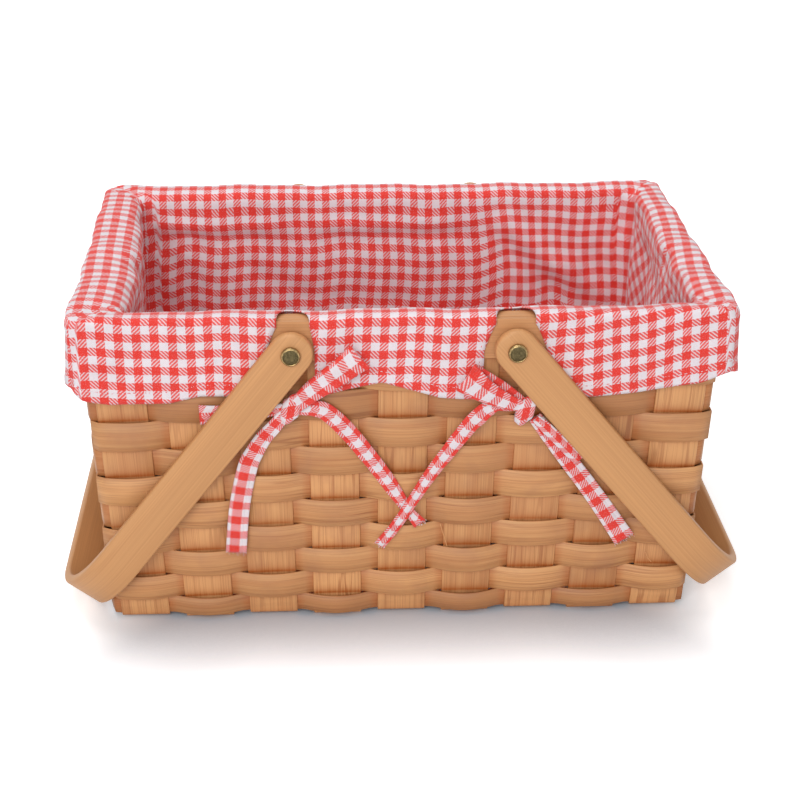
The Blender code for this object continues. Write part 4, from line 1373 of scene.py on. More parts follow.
def slit_edge(wall, side, outer, row):
    """Where an edge of a slit stands along a long wall."""
    size = cloth()
    kind, part = row_kind(row)
    near = side if wall == "front" else -side
    at_rim, lower = SLIT_SHARES[near, outer]
    top, hem = size.slit_top * at_rim, size.slit_hem * lower
    reach = top
    if kind == "skirt":
        reach = top + (hem - top) * min(part / 0.35, 1.0) ** 0.85
    elif kind == "wall" or part < 1:
        through = 0.0 if kind == "wall" else (part - slit_start(wall)) / 0.45
        through = min(max(through, 0.0), 1.0)
        reach = top * (0.30 + 0.70 * math.sqrt(1 - (1 - through) ** 2))
    return side * (handle().pivot_x + (reach if outer else -reach))


def lining_columns():
    """The columns round the cloth, each between two anchors of its wall or in a corner."""
    columns = []
    for wall in WALLS:
        steps = LONG_STEPS if wall in LONG_WALLS else SHORT_STEPS
        for anchor, count in enumerate(steps):
            slit = wall in LONG_WALLS and anchor in (1, 3)
            columns += [Column(wall, anchor, i / count, None, slit) for i in range(count)]
        columns.append(Column(wall, len(steps), 0, None, False))
        for step in range(1, CORNER_STEPS):
            columns.append(Column(wall, None, 0, step / CORNER_STEPS, False))
    return columns


def hem_height(wall, along):
    nominal = basket().rim_top - cloth().skirt_drop
    places, heights = zip(*FRONT_HEM)
    if wall == "front":
        return nominal + np.interp(along * 1000, places, heights) / 1000
    if wall == "back":
        return nominal + np.interp(-along * 1000, places, heights) / 1000 * 0.8
    swell = 0.0022 * math.sin(along * 41 + (1.0 if wall == "left" else 2.4))
    edge = abs(along) / half_depth(1)
    return nominal + swell + (0.009 if wall == "left" else 0.012) * smooth_step((edge - 0.72) / 0.28)


def bump_at(value, centre, width):
    return math.exp(-(((value - centre) / width) ** 2))


def near_line(x, z, start, end, width):
    """How near a spot on a wall is to a fold's line, fading towards the line's ends."""
    line = (end[0] - start[0], end[1] - start[1])
    length = math.hypot(*line)
    along = ((x - start[0]) * line[0] + (z - start[1]) * line[1]) / length
    aside = ((x - start[0]) * line[1] - (z - start[1]) * line[0]) / length
    fade = smooth_step((along + 0.3 * length) / (0.3 * length))
    fade *= smooth_step((1.3 * length - along) / (0.3 * length))
    return fade * bump_at(aside, 0, width)


def back_folds(x, z):
    """Creases of the cloth that hangs down the back wall, and how they drag its check."""
    under = 1 - 0.6 * bump_at(x, -0.055, 0.014) - 0.9 * smooth_step((x - 0.05) / 0.02)
    level = 0.1680 - 0.0020 * math.sin((x + 0.16) * 14)
    depth = -0.0062 * bump_at(z, level, 0.0052) * under
    depth += 0.0036 * bump_at(z, level + 0.0105, 0.0060) * under
    for crease, start, end, width in BACK_CREASES:
        depth += crease * near_line(x, z, start, end, width)
    reach = math.hypot(x + 0.166, z - 0.180)
    turn = math.atan2(0.180 - z, x + 0.166)
    fan = bump_at(reach, 0.030, 0.017) * smooth_step((x + 0.165) / 0.006)
    depth += 0.0026 * fan * math.sin(turn * 11 + 0.6)
    depth += 0.0012 * math.sin(x * 58 + 1.2 + z * 9) * smooth_step((0.185 - z) / 0.05)
    across = 0.0040 * bump_at(x, 0.078, 0.028) * smooth_step((0.2 - z) / 0.04)
    across += 0.0016 * math.sin(z * 52 + x * 12) * smooth_step((0.19 - z) / 0.04)
    down = -0.0050 * smooth_step((x - 0.050) / 0.040) * smooth_step((0.195 - z) / 0.05)
    down += 0.0040 * bump_at(x, -0.158, 0.014) * smooth_step((0.18 - z) / 0.03)
    down += 0.0016 * math.sin(x * 47 + 0.4)
    return depth, across, down


def other_folds(wall, along, z):
    swell = smooth_step((0.192 - z) / 0.03)
    deep = {"front": 0.0016, "left": 0.0034, "right": 0.0030}[wall]
    depth = deep * swell * math.sin(along * 52 + 7 * z + 1.0)
    depth += 0.4 * deep * swell * math.sin(along * 117 - 11 * z)
    depth -= 0.0025 * bump_at(z, 0.168, 0.006)
    return depth, 0.0012 * math.sin(z * 60 + along * 9), 0.0012 * math.sin(along * 49)


def crest_folds(wall, along, part):
    """Small gathers where the cloth is pulled over the rim."""
    if wall in LONG_WALLS:
        return 0.0005 + 0.0005 * math.sin(along * 71 + 2) + 0.0003 * math.sin(along * 173)
    depth = 0.0010 + 0.0007 * math.sin(along * 88 + 4 * part) + 0.0005 * math.sin(along * 205 + 2)
    lower = smooth_step((0.45 - part) / 0.3)
    return depth + lower * 0.0016 * math.sin(along * 150 + 9 * part)


def skirt_folds(wall, along, part):
    """Waves of the skirt, and the thicker hem with the dent of its stitches."""
    step = 0.0005 * smooth_step((part - 0.80) / 0.03) - 0.0006 * bump_at(part, 0.80, 0.025)
    if wall in LONG_WALLS:
        place = along if wall == "front" else -along
        wave = 0.00035 * math.sin(place * 63 + 1.0) + 0.00025 * math.sin(place * 141 + 3 * part)
        free = smooth_step((abs(place) - 0.160) / 0.02)
        return step * 0.6 + part * (wave + free * 0.0012)
    wave = 0.0016 * math.sin(along * 60 + 1.0) + 0.0007 * math.sin(along * 139)
    return step + part * (0.0020 + wave)


def wall_anchors(wall, row, edge, radius):
    """Where a wall starts and ends, and the edges of its slits, in the order that it is walked."""
    run = RUNS[wall]
    half = half_length(1) if wall in LONG_WALLS else half_depth(1)
    start = -run * (half + edge[wall_after(wall, -1)][1][0] - radius)
    end = run * (half + edge[wall_after(wall)][0][0] - radius)
    middle = []
    if wall in LONG_WALLS:
        for side, outer in ((-1, True), (-1, False), (1, False), (1, True))[::run]:
            middle.append(slit_edge(wall, side, outer, row))
    return [start, *middle, end]


def wall_spot(column, anchors, row):
    along = anchors[column.anchor]
    if column.share:
        along += (anchors[column.anchor + 1] - along) * column.share
    through = (along - anchors[0]) / (anchors[-1] - anchors[0])
    offset, height = drape_at(column.wall, through, row)
    if column.wall in LONG_WALLS:
        return np.array((along, SIDES[column.wall] * (half_depth(1) + offset), height))
    return np.array((SIDES[column.wall] * (half_length(1) + offset), along, height))


def corner_spot(column, edge, radius):
    wall, after = column.wall, wall_after(column.wall)
    first, second = edge[wall][1], edge[after][0]
    from_long = wall in LONG_WALLS
    long, short = (wall, after) if from_long else (after, wall)
    long_edge, short_edge = (first, second) if from_long else (second, first)
    turn = math.pi / 2 * (1 - column.corner if from_long else column.corner)
    x = half_length(1) + short_edge[0] - radius + radius * math.cos(turn)
    y = half_depth(1) + long_edge[0] - radius + radius * math.sin(turn)
    height = first[1] + (second[1] - first[1]) * smooth_step(column.corner)
    return np.array((SIDES[short] * x, SIDES[long] * y, height))


def lining_grid(columns):
    """Rows of points from the floor's edge up the inside, over the rim and down to the hem."""
    size = cloth()
    points = np.zeros((LAST_ROW + 1, len(columns), 3))
    for row in range(LAST_ROW + 1):
        kind, part = row_kind(row)
        edge = {wall: [drape_at(wall, end, row) for end in (0, 1)] for wall in WALLS}
        blend = {"wall": 0.0, "crest": part, "skirt": 1.0}[kind]
        radius = size.inner_corner + (size.skirt_corner - size.inner_corner) * blend
        anchors = {wall: wall_anchors(wall, row, edge, radius) for wall in WALLS}
        for j, column in enumerate(columns):
            wall, after = column.wall, wall_after(column.wall)
            if column.corner is None:
                spot = wall_spot(column, anchors[wall], row)
            else:
                spot = corner_spot(column, edge, radius)
            if kind == "skirt":
                hem = hem_height(wall, spot[axis_of(wall)])
                if column.corner is not None:
                    hem += (hem_height(after, spot[axis_of(after)]) - hem) * column.corner
                spot[2] += (hem - spot[2]) * part
            points[row, j] = spot
    return points


def swell_cloth(points, columns):
    """Pushes the cloth out along its own faces, into folds, and says how they drag the check."""
    up_rows = np.gradient(points, axis=0)
    round_rim = (np.roll(points, -1, axis=1) - np.roll(points, 1, axis=1)) / 2
    faces = np.cross(up_rows, round_rim)
    faces /= np.maximum(np.linalg.norm(faces, axis=2, keepdims=True), 1e-12)
    drag = np.zeros(points.shape[:2] + (2,))
    shift = np.zeros(points.shape[:2])
    for i in range(points.shape[0]):
        kind, part = row_kind(i)
        for j, (wall, _, _, corner, _) in enumerate(columns):
            along, z = points[i, j, axis_of(wall)], points[i, j, 2]
            if kind == "wall":
                folds = back_folds(along, z) if wall == "back" else other_folds(wall, along, z)
                ease = smooth_step((1 - part) / 0.08) * smooth_step(part / 0.1)
                if wall in LONG_WALLS:
                    nut = max(bump_at(along, side * handle().pivot_x, 0.012) for side in (-1, 1))
                    ease *= 1 - 0.9 * nut * bump_at(z, handle().pivot_z, 0.012)
                shift[i, j] = folds[0] * ease
                drag[i, j] = folds[1], folds[2]
            elif kind == "crest":
                shift[i, j] = crest_folds(wall, along, part)
            else:
                shift[i, j] = skirt_folds(wall, along, part)
                if i == LAST_ROW:
                    shift[i, j] -= 0.0002
            if corner is not None:
                calm = abs(corner - 0.5) * 2
                shift[i, j] *= calm
                if kind == "wall":
                    shift[i, j] -= 0.0022 * (1 - calm) * smooth_step(part / 0.2)
                elif kind == "crest":
                    shift[i, j] += 0.0016 * (1 - calm) * math.sin(corner * 19 + part * 3)
                else:
                    shift[i, j] += 0.0014 * (1 - calm) * math.sin(corner * 16 + part * 4)
    # A little smoothing carries each fold round the corners.
    for _ in range(3):
        shift = (np.roll(shift, 1, axis=1) + 2 * shift + np.roll(shift, -1, axis=1)) / 4
        shift[1:-1] = (shift[:-2] + 2 * shift[1:-1] + shift[2:]) / 4
    return points + faces * shift[:, :, None], drag


def marks_round(points, columns):
    """How far round the basket each spot lies in the weave, up to and past the corner seams."""
    count, width = points.shape[:2]
    across = np.zeros((count, width + 1))
    rim = points[EDGE_ROW]
    ends = []
    for wall in WALLS:
        axis = axis_of(wall)
        straight = [j for j in range(width) if columns[j].wall == wall and columns[j].corner is None]
        first = straight[0]
        shift = 0.0
        if ends:
            gaps = [np.linalg.norm(rim[j] - rim[j - 1]) for j in range(ends[-1] + 1, first + 1)]
            shift = across[EDGE_ROW, ends[-1]] + sum(gaps) - RUNS[wall] * rim[first][axis]
        across[:, straight] = RUNS[wall] * points[:, straight, axis] + shift
        ends.append(straight[-1])
    across[:, width] = across[:, 0]
    beyond = across.copy()
    for end in ends:
        for step in range(1, CORNER_STEPS):
            here, back = end + step, end + CORNER_STEPS - step
            gap = np.linalg.norm(points[:, here] - points[:, here - 1], axis=1)
            across[:, here] = across[:, here - 1] + gap
            gap = np.linalg.norm(points[:, (back + 1) % width] - points[:, back], axis=1)
            beyond[:, back] = beyond[:, back + 1] - gap
    return across, beyond


def hang_of(wall, x, y):
    """How far the check hangs down outside, and how it leans, as in the photograph."""
    slant = math.tan(math.radians(10))
    if wall == "front":
        fall = slant * max(x - 0.085, 0) - 0.026 * min(x + 0.05, 0)
        lean = 0.10 * smooth_step((x - 0.08) / 0.04) - 0.05 * smooth_step((x + 0.10) / 0.06)
        return fall, lean
    if wall == "right":
        part = (half_depth(1) * 0.6 - y) / (half_depth(1) * 1.6)
        return slant * 0.097 * smooth_step(part), 0.10 * smooth_step((-0.04 - y) / 0.06)
    if wall == "left":
        return 0.0034 * smooth_step((0.05 - y) / 0.14), 0.0
    return 0.0, 0.0


def check_marks(points, columns, drag):
    """Where each spot lies in the cloth's weave, with one column more than the points.

    The first answer holds up to a corner's seam, and the second from there to the next wall.
    """
    count, width = points.shape[:2]
    steps = np.diff(points, axis=0)
    for j, column in enumerate(columns):
        if column.corner is None:
            steps[:, j, axis_of(column.wall)] = 0
    down = np.zeros((count, width))
    down[1:] = np.cumsum(np.linalg.norm(steps, axis=2), axis=0)
    down -= down[RIM_ROW]
    hang = np.zeros((count, width, 2))
    for i in range(count):
        for j, column in enumerate(columns):
            hang[i, j] = hang_of(column.wall, points[i, j, 0], points[i, j, 1])
    down, drag, hang = (np.concatenate([each, each[:, :1]], axis=1) for each in (down, drag, hang))
    outside = np.zeros((count, 1))
    outside[EDGE_ROW - 6:] = 1
    bend = drag[:, :, 0] - hang[:, :, 1] * np.maximum(down, 0) * outside
    down = down + hang[:, :, 0] + drag[:, :, 1]
    return [np.stack([side + bend, down], axis=2) for side in marks_round(points, columns)]


def cloth_mesh(name, vertices, faces, marks):
    """A mesh whose check follows a UV map, given as one (across, down) for each face corner."""
    used = sorted({index for face in faces for index in face})
    renamed = {index: i for i, index in enumerate(used)}
    data = bpy.data.meshes.new(name)
    data.from_pydata(
        [tuple(vertices[index]) for index in used],
        [],
        [tuple(renamed[index] for index in face) for face in faces],
    )
    layer = data.uv_layers.new(name="grain")
    layer.data.foreach_set("uv", np.array(marks, np.float32).ravel())
    data.shade_smooth()
    return data


def lining_mesh(points, columns, marks):
    """One sheet: floor, walls, the turn over the rim, and the slit skirt outside."""
    count, width = points.shape[:2]
    vertices = [Vector(spot) for spot in points.reshape(-1, 3)]
    faces, corners = [], []
    turned = math.sqrt(0.5)
    for i in range(count - 1):
        kind, part = row_kind(i + 0.5)
        for j, (wall, _, _, corner, in_slit) in enumerate(columns):
            if in_slit and (kind == "skirt" or kind == "crest" and part > slit_start(wall)):
                continue
            k = (j + 1) % width
            faces.append((i * width + j, (i + 1) * width + j, (i + 1) * width + k, i * width + k))
            cut = marks[1 if (corner or 0) > 0.45 else 0]
            spots = (cut[i, j], cut[i + 1, j], cut[i + 1, j + 1], cut[i, j + 1])
            # The right end's inner wall hangs turned on the bias.
            if wall == "right" and corner is None and kind == "wall" and part < 0.93:
                spots = [((u + v) * turned, (v - u) * turned) for u, v in spots]
            corners += [tuple(spot) for spot in spots]
    inner = list(range(width))
    for step in range(1, FLOOR_RINGS):
        factor = 1 - step / FLOOR_RINGS
        ring = [len(vertices) + j for j in range(width)]
        vertices += [Vector((x * factor, y * factor, z)) for x, y, z in points[0]]
        for j in range(width):
            k = (j + 1) % width
            faces.append((ring[j], inner[j], inner[k], ring[k]))
            corners += [tuple(vertices[index].xy) for index in faces[-1]]
        inner = ring
    faces.append(tuple(inner))
    corners += [tuple(vertices[index].xy) for index in inner]
    return cloth_mesh("lining", vertices, faces, corners)


class BuildLining(Operator):
    """The checked lining with its thickness, draped over the rim, and its rows of stitches."""

    bl_idname = "basket.lining"
    bl_label = "Lining"

    def execute(self, context):
        columns = lining_columns()
        points, drag = swell_cloth(lining_grid(columns), columns)
        data = lining_mesh(points, columns, check_marks(points, columns, drag))
        lining = show("lining", data, cloth_look("checked_cloth", 0.15, cloth().thread))
        thicken = lining.modifiers.new("thickness", "SOLIDIFY")
        thicken.thickness = cloth().thickness
        thicken.offset = 0.0
        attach(lining, "basket")
        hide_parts("liner")
        sew_edges(points, columns)
        return {"FINISHED"}


def spot_along(line, left):
    """The spot that lies a distance along a line of points."""
    for here, after in zip(line, line[1:]):
        gap = np.linalg.norm(after - here)
        if gap > left:
            break
        left -= gap
    return here + (after - here) * (left / gap)


def sew_edges(points, columns):
    """Runs of stitches above the hem and beside each slit."""
    rails = Rails()

    def facing(wall):
        out = np.zeros(3)
        out[1 - axis_of(wall)] = SIDES[wall]
        return out

    def lifted(spot, column):
        """A spot just above the face of the cloth."""
        out = facing(column.wall)
        if column.corner is not None:
            turn = column.corner * math.pi / 2
            out = out * math.cos(turn) + facing(wall_after(column.wall)) * math.sin(turn)
        return Vector(spot + out * (cloth().thickness / 2 + 0.00005))

    run = []
    for j, column in enumerate(columns):
        if not column.in_slit:
            run.append(lifted(spot_along(points[::-1, j], 0.0070), column))
        elif run:
            rails.add(run)
            run = []
    rails.add(run)
    for j, column in enumerate(columns):
        if columns[j - 1].in_slit == column.in_slit:
            continue
        away = -1 if column.in_slit else 1
        rows = range(EDGE_ROW + 1, LAST_ROW)
        rails.add([lifted(spot_along(points[i, j::away], 0.0026), column) for i in rows])
    stitches = grow(
        "lining_stitches",
        rails.mesh("lining_stitches_rails"),
        stitch_tree(),
        pitch=0.0030,
        length=0.0021,
        radius=0.00022,
        material=yarn_look(),
    )
    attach(stitches, "basket")
    return stitches

# Bows

# Routes of the front ties in millimetres: along the front, up, and layers of tape off the weave.
LEFT_KNOT = (-64.5, 145.4, 3.0)
LEFT_TAILS = (
    (
        ((-66.8, 142.7, 2.5), (-74, 134, 2.0), (-81.6, 124.5, 1.6), (-87, 115, 1.2),
         (-90.8, 105.7, 1.0), (-96.2, 79.4, 0.8), (-99.2, 48.9, 0.8)),
        ((0, 0.15, 0.35, 0.6, 1), (7.5, 8.6, 10.0, 11.6, 12.4)),
    ),
    (
        ((-60.5, 145.1, 2.5), (-51, 144.6, 2.2), (-42.3, 140.3, 1.6), (-28, 123.4, 1.0),
         (-10.6, 98.2, 0.9), (1.3, 78.5, 0.8), (10.3, 66.0, 0.8)),
        ((0, 0.2, 0.45, 0.7, 0.88, 1), (8.0, 10.6, 11.0, 9.6, 6.2, 8.6)),
    ),
    (
        ((-69, 145.0, 2.0), (-80, 143.0, 1.1), (-97, 141.6, 1.04), (-117, 141.0, 1.0)),
        ((0, 0.5, 1), (6.0, 9.5, 12.5)),
    ),
)
LEFT_LOOP = (
    ((-62.5, 147.0, 2.9), (-52, 157, 3.0), (-38, 168.6, 3.2), (-28.5, 176.0, 4.0),
     (-25.5, 178.5, 5.2), (-28.5, 176.4, 6.4), (-39, 168.0, 6.7), (-52, 157, 5.6), (-62.5, 147.6, 4.4)),
    ((0, 0.12, 0.3, 0.5, 0.7, 0.88, 1), (8.5, 11.5, 14.5, 18.0, 15.0, 12.0, 9.0)),
)
RIGHT_KNOT = (70.2, 142.0, 3.2)
RIGHT_TAILS = (
    (
        ((76.2, 136.8, 2.5), (84, 126, 1.8), (91.7, 115.1, 1.3), (110.8, 88.2, 0.9),
         (124.4, 67.6, 0.8), (133.9, 52.6, 0.8)),
        ((0, 0.2, 0.4, 0.7, 1), (8.0, 9.6, 10.4, 11.8, 13.2)),
    ),
    (
        ((63.0, 144.6, 2.9), (55, 144.4, 2.8), (48.6, 142.8, 2.7), (42.5, 137.0, 2.6),
         (35.7, 128.6, 2.5), (15.8, 99.6, 2.4), (-1.6, 69.9, 2.5), (-13.4, 52.6, 2.0)),
        ((0, 0.09, 0.16, 0.23, 0.42, 0.6, 0.8, 1), (6.5, 6.2, 5.4, 9.6, 10.8, 9.8, 6.8, 7.0)),
    ),
    (
        ((76.5, 137.0, 4.0), (83.5, 130.0, 3.8), (94.5, 118, 3.2), (103.5, 108.0, 2.6)),
        ((0, 0.3, 0.8, 1), (5.0, 7.0, 7.6, 5.5)),
    ),
)
RIGHT_LOOP = (
    ((68.0, 146.6, 2.9), (60, 152.0, 3.0), (48, 159.0, 3.2), (39.0, 163.4, 4.0), (36.0, 164.6, 5.2),
     (38.5, 162.4, 6.4), (47, 155.8, 6.7), (58, 149.4, 5.6), (68.0, 145.2, 4.4)),
    ((0, 0.12, 0.3, 0.5, 0.7, 0.88, 1), (7.0, 10.0, 15.5, 21.0, 15.5, 10.0, 7.0)),
)


ROUTE_STEPS = 9
# Places across the face of a folded tape, from -1 to 1, closer beside its folds.
TAPE_FACE = (
    -1, -0.97, -0.88, -0.72, -0.5, -0.25, 0, 0.25, 0.42, 0.5, 0.56, 0.64, 0.76, 0.88, 0.97, 1
)
KNOT_RINGS, KNOT_SIDES = 21, 40
FRAY_THREADS = 15


def tie_spot(place):
    """A point of a front tie's route, standing off the weave by its layers of tape."""
    x, z = place[0] / 1000, place[1] / 1000
    out = half_depth(z) + weave_offset() + basket().weaver_thickness / 2 + bulge_at(z) + GAP
    over = smooth_step((z - (basket().rim_top - cloth().skirt_drop) - 0.004) / 0.010)
    out += over * 0.0012
    return Vector((x, -out - place[2] * cloth().tie_thickness, z))


def tie_route(places):
    spots = [tie_spot(place) for place in places]
    count = (len(spots) - 1) * ROUTE_STEPS + 1
    return [Vector(spline(spots, i / ROUTE_STEPS)) for i in range(count)]


def tape_section(creases):
    """Round the section of a folded tape, as (across, out), from -1 to 1."""
    section = []
    for sign, places in ((1, TAPE_FACE), (-1, TAPE_FACE[::-1][1:-1])):
        for x in places:
            y = math.sqrt(max(0.0, 1 - abs(x) ** 6))
            if sign > 0:
                for crease in creases:
                    y *= 1 - 0.75 * bump_at(x, crease, 0.09)
            section.append((x, sign * y))
    return section


def tape_mesh(name, route, widths, thickness, edgewise=None, creases=(0.6,), shift=0.0):
    """A folded tape along a route, with soft creases and a slight wave."""
    count = len(route)
    rows, marks = [], []
    along = 0.0
    section = tape_section(creases)
    for i, place in enumerate(route):
        part = i / (count - 1)
        tangent = (route[min(i + 1, count - 1)] - route[max(i - 1, 0)]).normalized()
        if edgewise is None:
            side = Vector((-tangent.z, 0, tangent.x)).normalized()
        else:
            side = (edgewise - tangent * edgewise.dot(tangent)).normalized()
        face = tangent.cross(side).normalized()
        width = np.interp(part, *widths) / 1000
        thick = np.interp(part, *thickness)
        along += (place - route[i - 1]).length if i else 0
        wave = 0.00035 * math.sin(along * 310 + shift * 900) * min(1, 8 * part)
        row, mark = [], []
        for x, y in section:
            bow = wave * math.sin(3.0 * x + along * 90)
            row.append(place + side * (x * width / 2) + face * (y * thick / 2 + bow))
            mark.append((x * cloth().tie_width / 2 + shift, along + 0.4 * abs(x) * shift, 0.0))
        rows.append(row)
        marks.append(mark)
    return grid_mesh(name, rows, marks)


def knot_mesh(name, centre):
    """The tape that is wrapped round the middle of a bow."""
    rows, marks = [], []
    for i in range(KNOT_RINGS):
        polar = math.pi * (i + 0.5) / KNOT_RINGS
        row, mark = [], []
        for j in range(KNOT_SIDES):
            turn = math.tau * j / KNOT_SIDES
            fold = 0.08 * math.sin(5 * polar + 1.4 * math.sin(turn))
            fold += 0.05 * math.sin(3 * turn + 2 * polar)
            belly = math.sin(polar) ** 0.55 * (1 + fold)
            x = 0.0056 * math.copysign(abs(math.cos(polar)) ** 0.8, math.cos(polar))
            y = 0.0036 * belly * math.sin(turn)
            z = 0.0086 * belly * math.copysign(abs(math.cos(turn)) ** 0.8, math.cos(turn))
            row.append(centre + Vector((x + 0.18 * z, y, z + 0.2 * x)))
            mark.append((x * 1.15, 0.0065 * turn, 0.0))
        rows.append(row)
        marks.append(mark)
    return grid_mesh(name, rows, marks)


def joined_mesh(name, meshes):
    whole = bmesh.new()
    for data in meshes:
        whole.from_mesh(data)
        bpy.data.meshes.remove(data)
    made = bpy.data.meshes.new(name)
    whole.to_mesh(made)
    whole.free()
    made.shade_smooth()
    return made


def fray_tail(frays, route, width, chance):
    """Loose threads past the cut end of a tail."""
    end = route[-1]
    ahead = (end - route[-3]).normalized()
    side = Vector((-ahead.z, 0, ahead.x)).normalized()
    for index in range(FRAY_THREADS):
        across = (index / (FRAY_THREADS - 1) - 0.5) * width * 0.96
        reach = chance.uniform(0.0008, 0.0030)
        lean = chance.uniform(-0.5, 0.5)
        out = chance.uniform(-0.0001, 0.0005)
        points = []
        for step in range(4):
            part = step / 3
            spot = end + side * across + ahead * (reach * part - 0.0006)
            spot += side * (lean * reach * part**2) + Vector((0, -out * part, 0))
            points.append(spot)
        frays.add(points, tint=chance.random())


class BuildBows(Operator):
    """Each bow is a knot, a loop and its tails. The back ones are the front ones turned round."""

    bl_idname = "basket.bows"
    bl_label = "Bows"

    def execute(self, context):
        look = cloth_look("checked_tape", 0.2, cloth().tie_thread)
        frays = Rails()
        chance = random.Random(basket().seed + 5)
        half_turn = Matrix.Rotation(math.pi, 4, "Z")
        for names, knot, tails, loop in (
            (("front_left_tie", "back_right_tie"), LEFT_KNOT, LEFT_TAILS, LEFT_LOOP),
            (("front_right_tie", "back_left_tie"), RIGHT_KNOT, RIGHT_TAILS, RIGHT_LOOP),
        ):
            meshes = [knot_mesh("knot", tie_spot(knot))]
            thick = ((0, 0.3, 1), (0.0022, 0.0014, 0.0012))
            for index, (places, widths) in enumerate(tails):
                route = tie_route(places)
                shift = 0.001 + index * 0.004
                meshes.append(tape_mesh(f"tail_{index}", route, widths, thick, shift=shift))
                if index < 2:
                    fray_tail(frays, route, widths[1][-1] / 1000, chance)
            places, widths = loop
            route = tie_route(places)
            axis = (route[len(route) // 2] - route[0]).normalized()
            edgewise = Vector((-axis.z, 0, axis.x)).normalized()
            thick = ((0, 1), (0.0014, 0.0014))
            meshes.append(tape_mesh("loop", route, widths, thick, edgewise, (-0.4, 0.3), 0.0035))
            data = joined_mesh(names[0] + "_bow", meshes)
            data.materials.append(look)
            back = data.copy()
            back.transform(half_turn)
            for name, mesh in zip(names, (data, back)):
                bow = show(name + "_bow", mesh)
                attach(bow, "basket")
                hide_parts(name)
        data = frays.mesh("frayed_rails")
        back = data.copy()
        back.transform(half_turn)
        tree = thread_tree()
        yarn = yarn_look()
        for label, rails in (("front_frayed_threads", data), ("back_frayed_threads", back)):
            threads = grow(label, rails, tree, radius=0.00014, material=yarn)
            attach(threads, "basket")
        return {"FINISHED"}


# Stage

FLOOR_GLOW = 0.45
SKY = 0.42
FLOOR_HALF = 12
FLOOR_HEIGHT = -0.0001
# Colours of the floor: its painted shadow beside the basket, away from it, and as it lights the basket.
FLOOR_PAINTED_SHADOW = (0.60, 0.64, 0.70, 1)
FLOOR_FAR = (0.97, 0.98, 1.0, 1)
FLOOR_UNSEEN = (0.82, 0.82, 0.83, 1)
# Name, place, width and power of each lamp. They all aim at the same spot.
LAMPS = (
    ("top_lamp", (-0.25, 0.30, 1.85), 1.3, 14.3),
    ("front_lamp", (-0.45, -1.95, 1.15), 1.5, 28),
)
LAMP_AIM = (0, 0, 0.1)
CAMERA_PLACE = (-0.0505, -1.0049, 0.5644)
CAMERA_PITCH, CAMERA_YAW, CAMERA_ROLL = 25.16, 3.14, 0.38
CAMERA_LENS, CAMERA_SENSOR = 76.7, 36


def floor_look():
    """White paper with a painted shadow close to the basket, kept white past the lamps' reach."""
    look, wires, shader = new_look("white_floor")
    look.node_tree.nodes.remove(shader)
    to_camera = wires.node("ShaderNodeLightPath").outputs["Is Camera Ray"]
    # Painted shadow: the floor darkens where ambient occlusion finds the basket near, but not beside
    # its ends.
    shadow_ao = wires.node("ShaderNodeAmbientOcclusion", {"Distance": 0.085}).outputs["AO"]
    x, y, _ = wires.parted(wires.place())
    aside = wires.spread(wires.math("ABSOLUTE", x), 0.140, 0.195)
    near = wires.math("MAXIMUM", wires.spread(shadow_ao, 0.45, 0.99), aside)
    pale = wires.mix(to_camera, FLOOR_UNSEEN, wires.mix(near, FLOOR_PAINTED_SHADOW, FLOOR_FAR))
    matt = wires.out("ShaderNodeBsdfDiffuse", {"Color": pale})
    away = wires.math("SQRT", wires.plus(wires.times(x, x), wires.times(y, y)))
    # The seen glow fades in the painted shadow too.
    glow = wires.math("POWER", near, 2.1)
    glow = wires.math("MULTIPLY_ADD", glow, FLOOR_GLOW, wires.spread(away, 0.5, 1.4, 0.0, 0.7))
    shine = {"Color": (1, 1, 1, 1), "Strength": wires.times(wires.seen(), glow)}
    both = {0: matt, 1: wires.out("ShaderNodeEmission", shine)}
    output = look.node_tree.nodes["Material Output"]
    wires.feed(output.inputs[0], wires.out("ShaderNodeAddShader", both))
    return look


def set_world(scene):
    world = bpy.data.worlds.new("studio")
    world.use_nodes = True
    scene.world = world
    wires = Wiring(world.node_tree)
    ground = world.node_tree.nodes["Background"]
    ground.inputs["Color"].default_value = (1, 1, 1, 1)
    wires.feed(ground.inputs["Strength"], wires.spread(wires.seen(), 0.0, 1.0, SKY, 1.0))


def set_lamps(scene):
    for name, place, width, power in LAMPS:
        lamp = bpy.data.lights.new(name, "AREA")
        lamp.shape = "SQUARE"
        lamp.size = width
        lamp.energy = power
        obj = bpy.data.objects.new(name, lamp)
        scene.collection.objects.link(obj)
        obj.location = place
        aim = Vector(LAMP_AIM) - Vector(place)
        obj.rotation_euler = aim.to_track_quat("-Z", "Y").to_euler()


def set_camera(scene):
    lens = bpy.data.cameras.new("camera")
    lens.sensor_width = CAMERA_SENSOR
    lens.sensor_height = CAMERA_SENSOR
    lens.sensor_fit = "HORIZONTAL"
    lens.lens = CAMERA_LENS
    camera = bpy.data.objects.new("camera", lens)
    scene.collection.objects.link(camera)
    pitch, yaw, roll = (math.radians(turn) for turn in (CAMERA_PITCH, CAMERA_YAW, CAMERA_ROLL))
    level = math.cos(pitch)
    ahead = Vector((math.sin(yaw) * level, math.cos(yaw) * level, -math.sin(pitch)))
    right = Vector((math.cos(yaw), -math.sin(yaw), 0))
    up = right.cross(ahead)
    across = right * math.cos(roll) + up * math.sin(roll)
    upward = up * math.cos(roll) - right * math.sin(roll)
    turn = Matrix((across, upward, -ahead)).transposed()
    camera.matrix_world = Matrix.Translation(CAMERA_PLACE) @ turn.to_4x4()
    scene.camera = camera


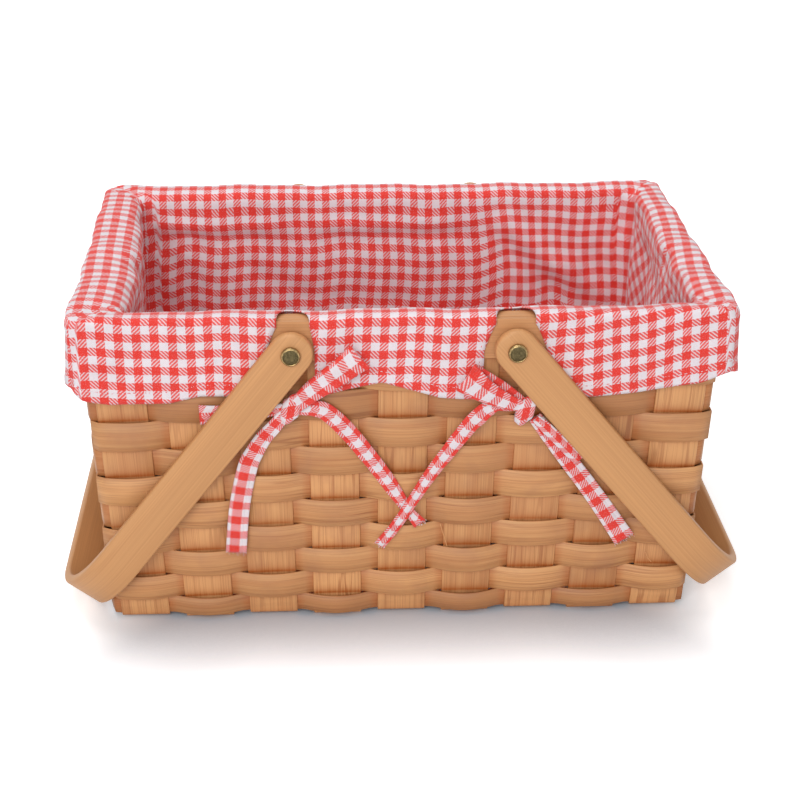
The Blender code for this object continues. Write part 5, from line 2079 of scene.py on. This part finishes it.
class SetStage(Operator):
    """A white floor with a soft shadow, partly cast and partly painted, lamps above and in front, and
    the photograph's camera.
    """

    bl_idname = "basket.stage"
    bl_label = "Stage"

    def execute(self, context):
        scene = context.scene
        scene.view_settings.view_transform = "Standard"
        data = bpy.data.meshes.new("floor")
        corners = ((-1, -1), (1, -1), (1, 1), (-1, 1))
        spots = [(x * FLOOR_HALF, y * FLOOR_HALF, FLOOR_HEIGHT) for x, y in corners]
        data.from_pydata(spots, [], [(0, 1, 2, 3)])
        floor = show("floor", data, floor_look())
        set_world(scene)
        set_lamps(scene)
        set_camera(scene)
        return {"FINISHED"}


class BasketPanel(Panel):
    bl_label = "Pie Basket"
    bl_idname = "VIEW3D_PT_pie_basket"
    bl_space_type = "VIEW_3D"
    bl_region_type = "UI"
    bl_category = "Pie Basket"

    def draw(self, context):
        for operator in OPERATORS:
            self.layout.operator(operator.bl_idname)
        for label in ("basket_sizes", "handle_sizes", "cloth_sizes", "finishes"):
            group = getattr(context.scene, label)
            box = self.layout.box()
            box.label(text=label.replace("_", " ").capitalize())
            for item in group.bl_rna.properties:
                if item.identifier not in ("rna_type", "name"):
                    box.prop(group, item.identifier)


OPERATORS = (BuildWeaving, BuildRim, BuildHandles, BuildBolts, BuildLining, BuildBows, SetStage)
GROUPS = {
    "basket_sizes": BasketSizes,
    "handle_sizes": HandleSizes,
    "cloth_sizes": ClothSizes,
    "finishes": Finishes,
}


def register():
    for item in (*GROUPS.values(), *OPERATORS, BasketPanel):
        bpy.utils.register_class(item)
    for label, group in GROUPS.items():
        setattr(bpy.types.Scene, label, PointerProperty(type=group))


def unregister():
    for label in GROUPS:
        delattr(bpy.types.Scene, label)
    for item in reversed((*GROUPS.values(), *OPERATORS, BasketPanel)):
        bpy.utils.unregister_class(item)


def main():
    register()
    bpy.ops.basket.weaving()
    bpy.ops.basket.rim()
    bpy.ops.basket.handles()
    bpy.ops.basket.bolts()
    bpy.ops.basket.lining()
    bpy.ops.basket.bows()
    bpy.ops.basket.stage()


if __name__ == "__main__":
    main()
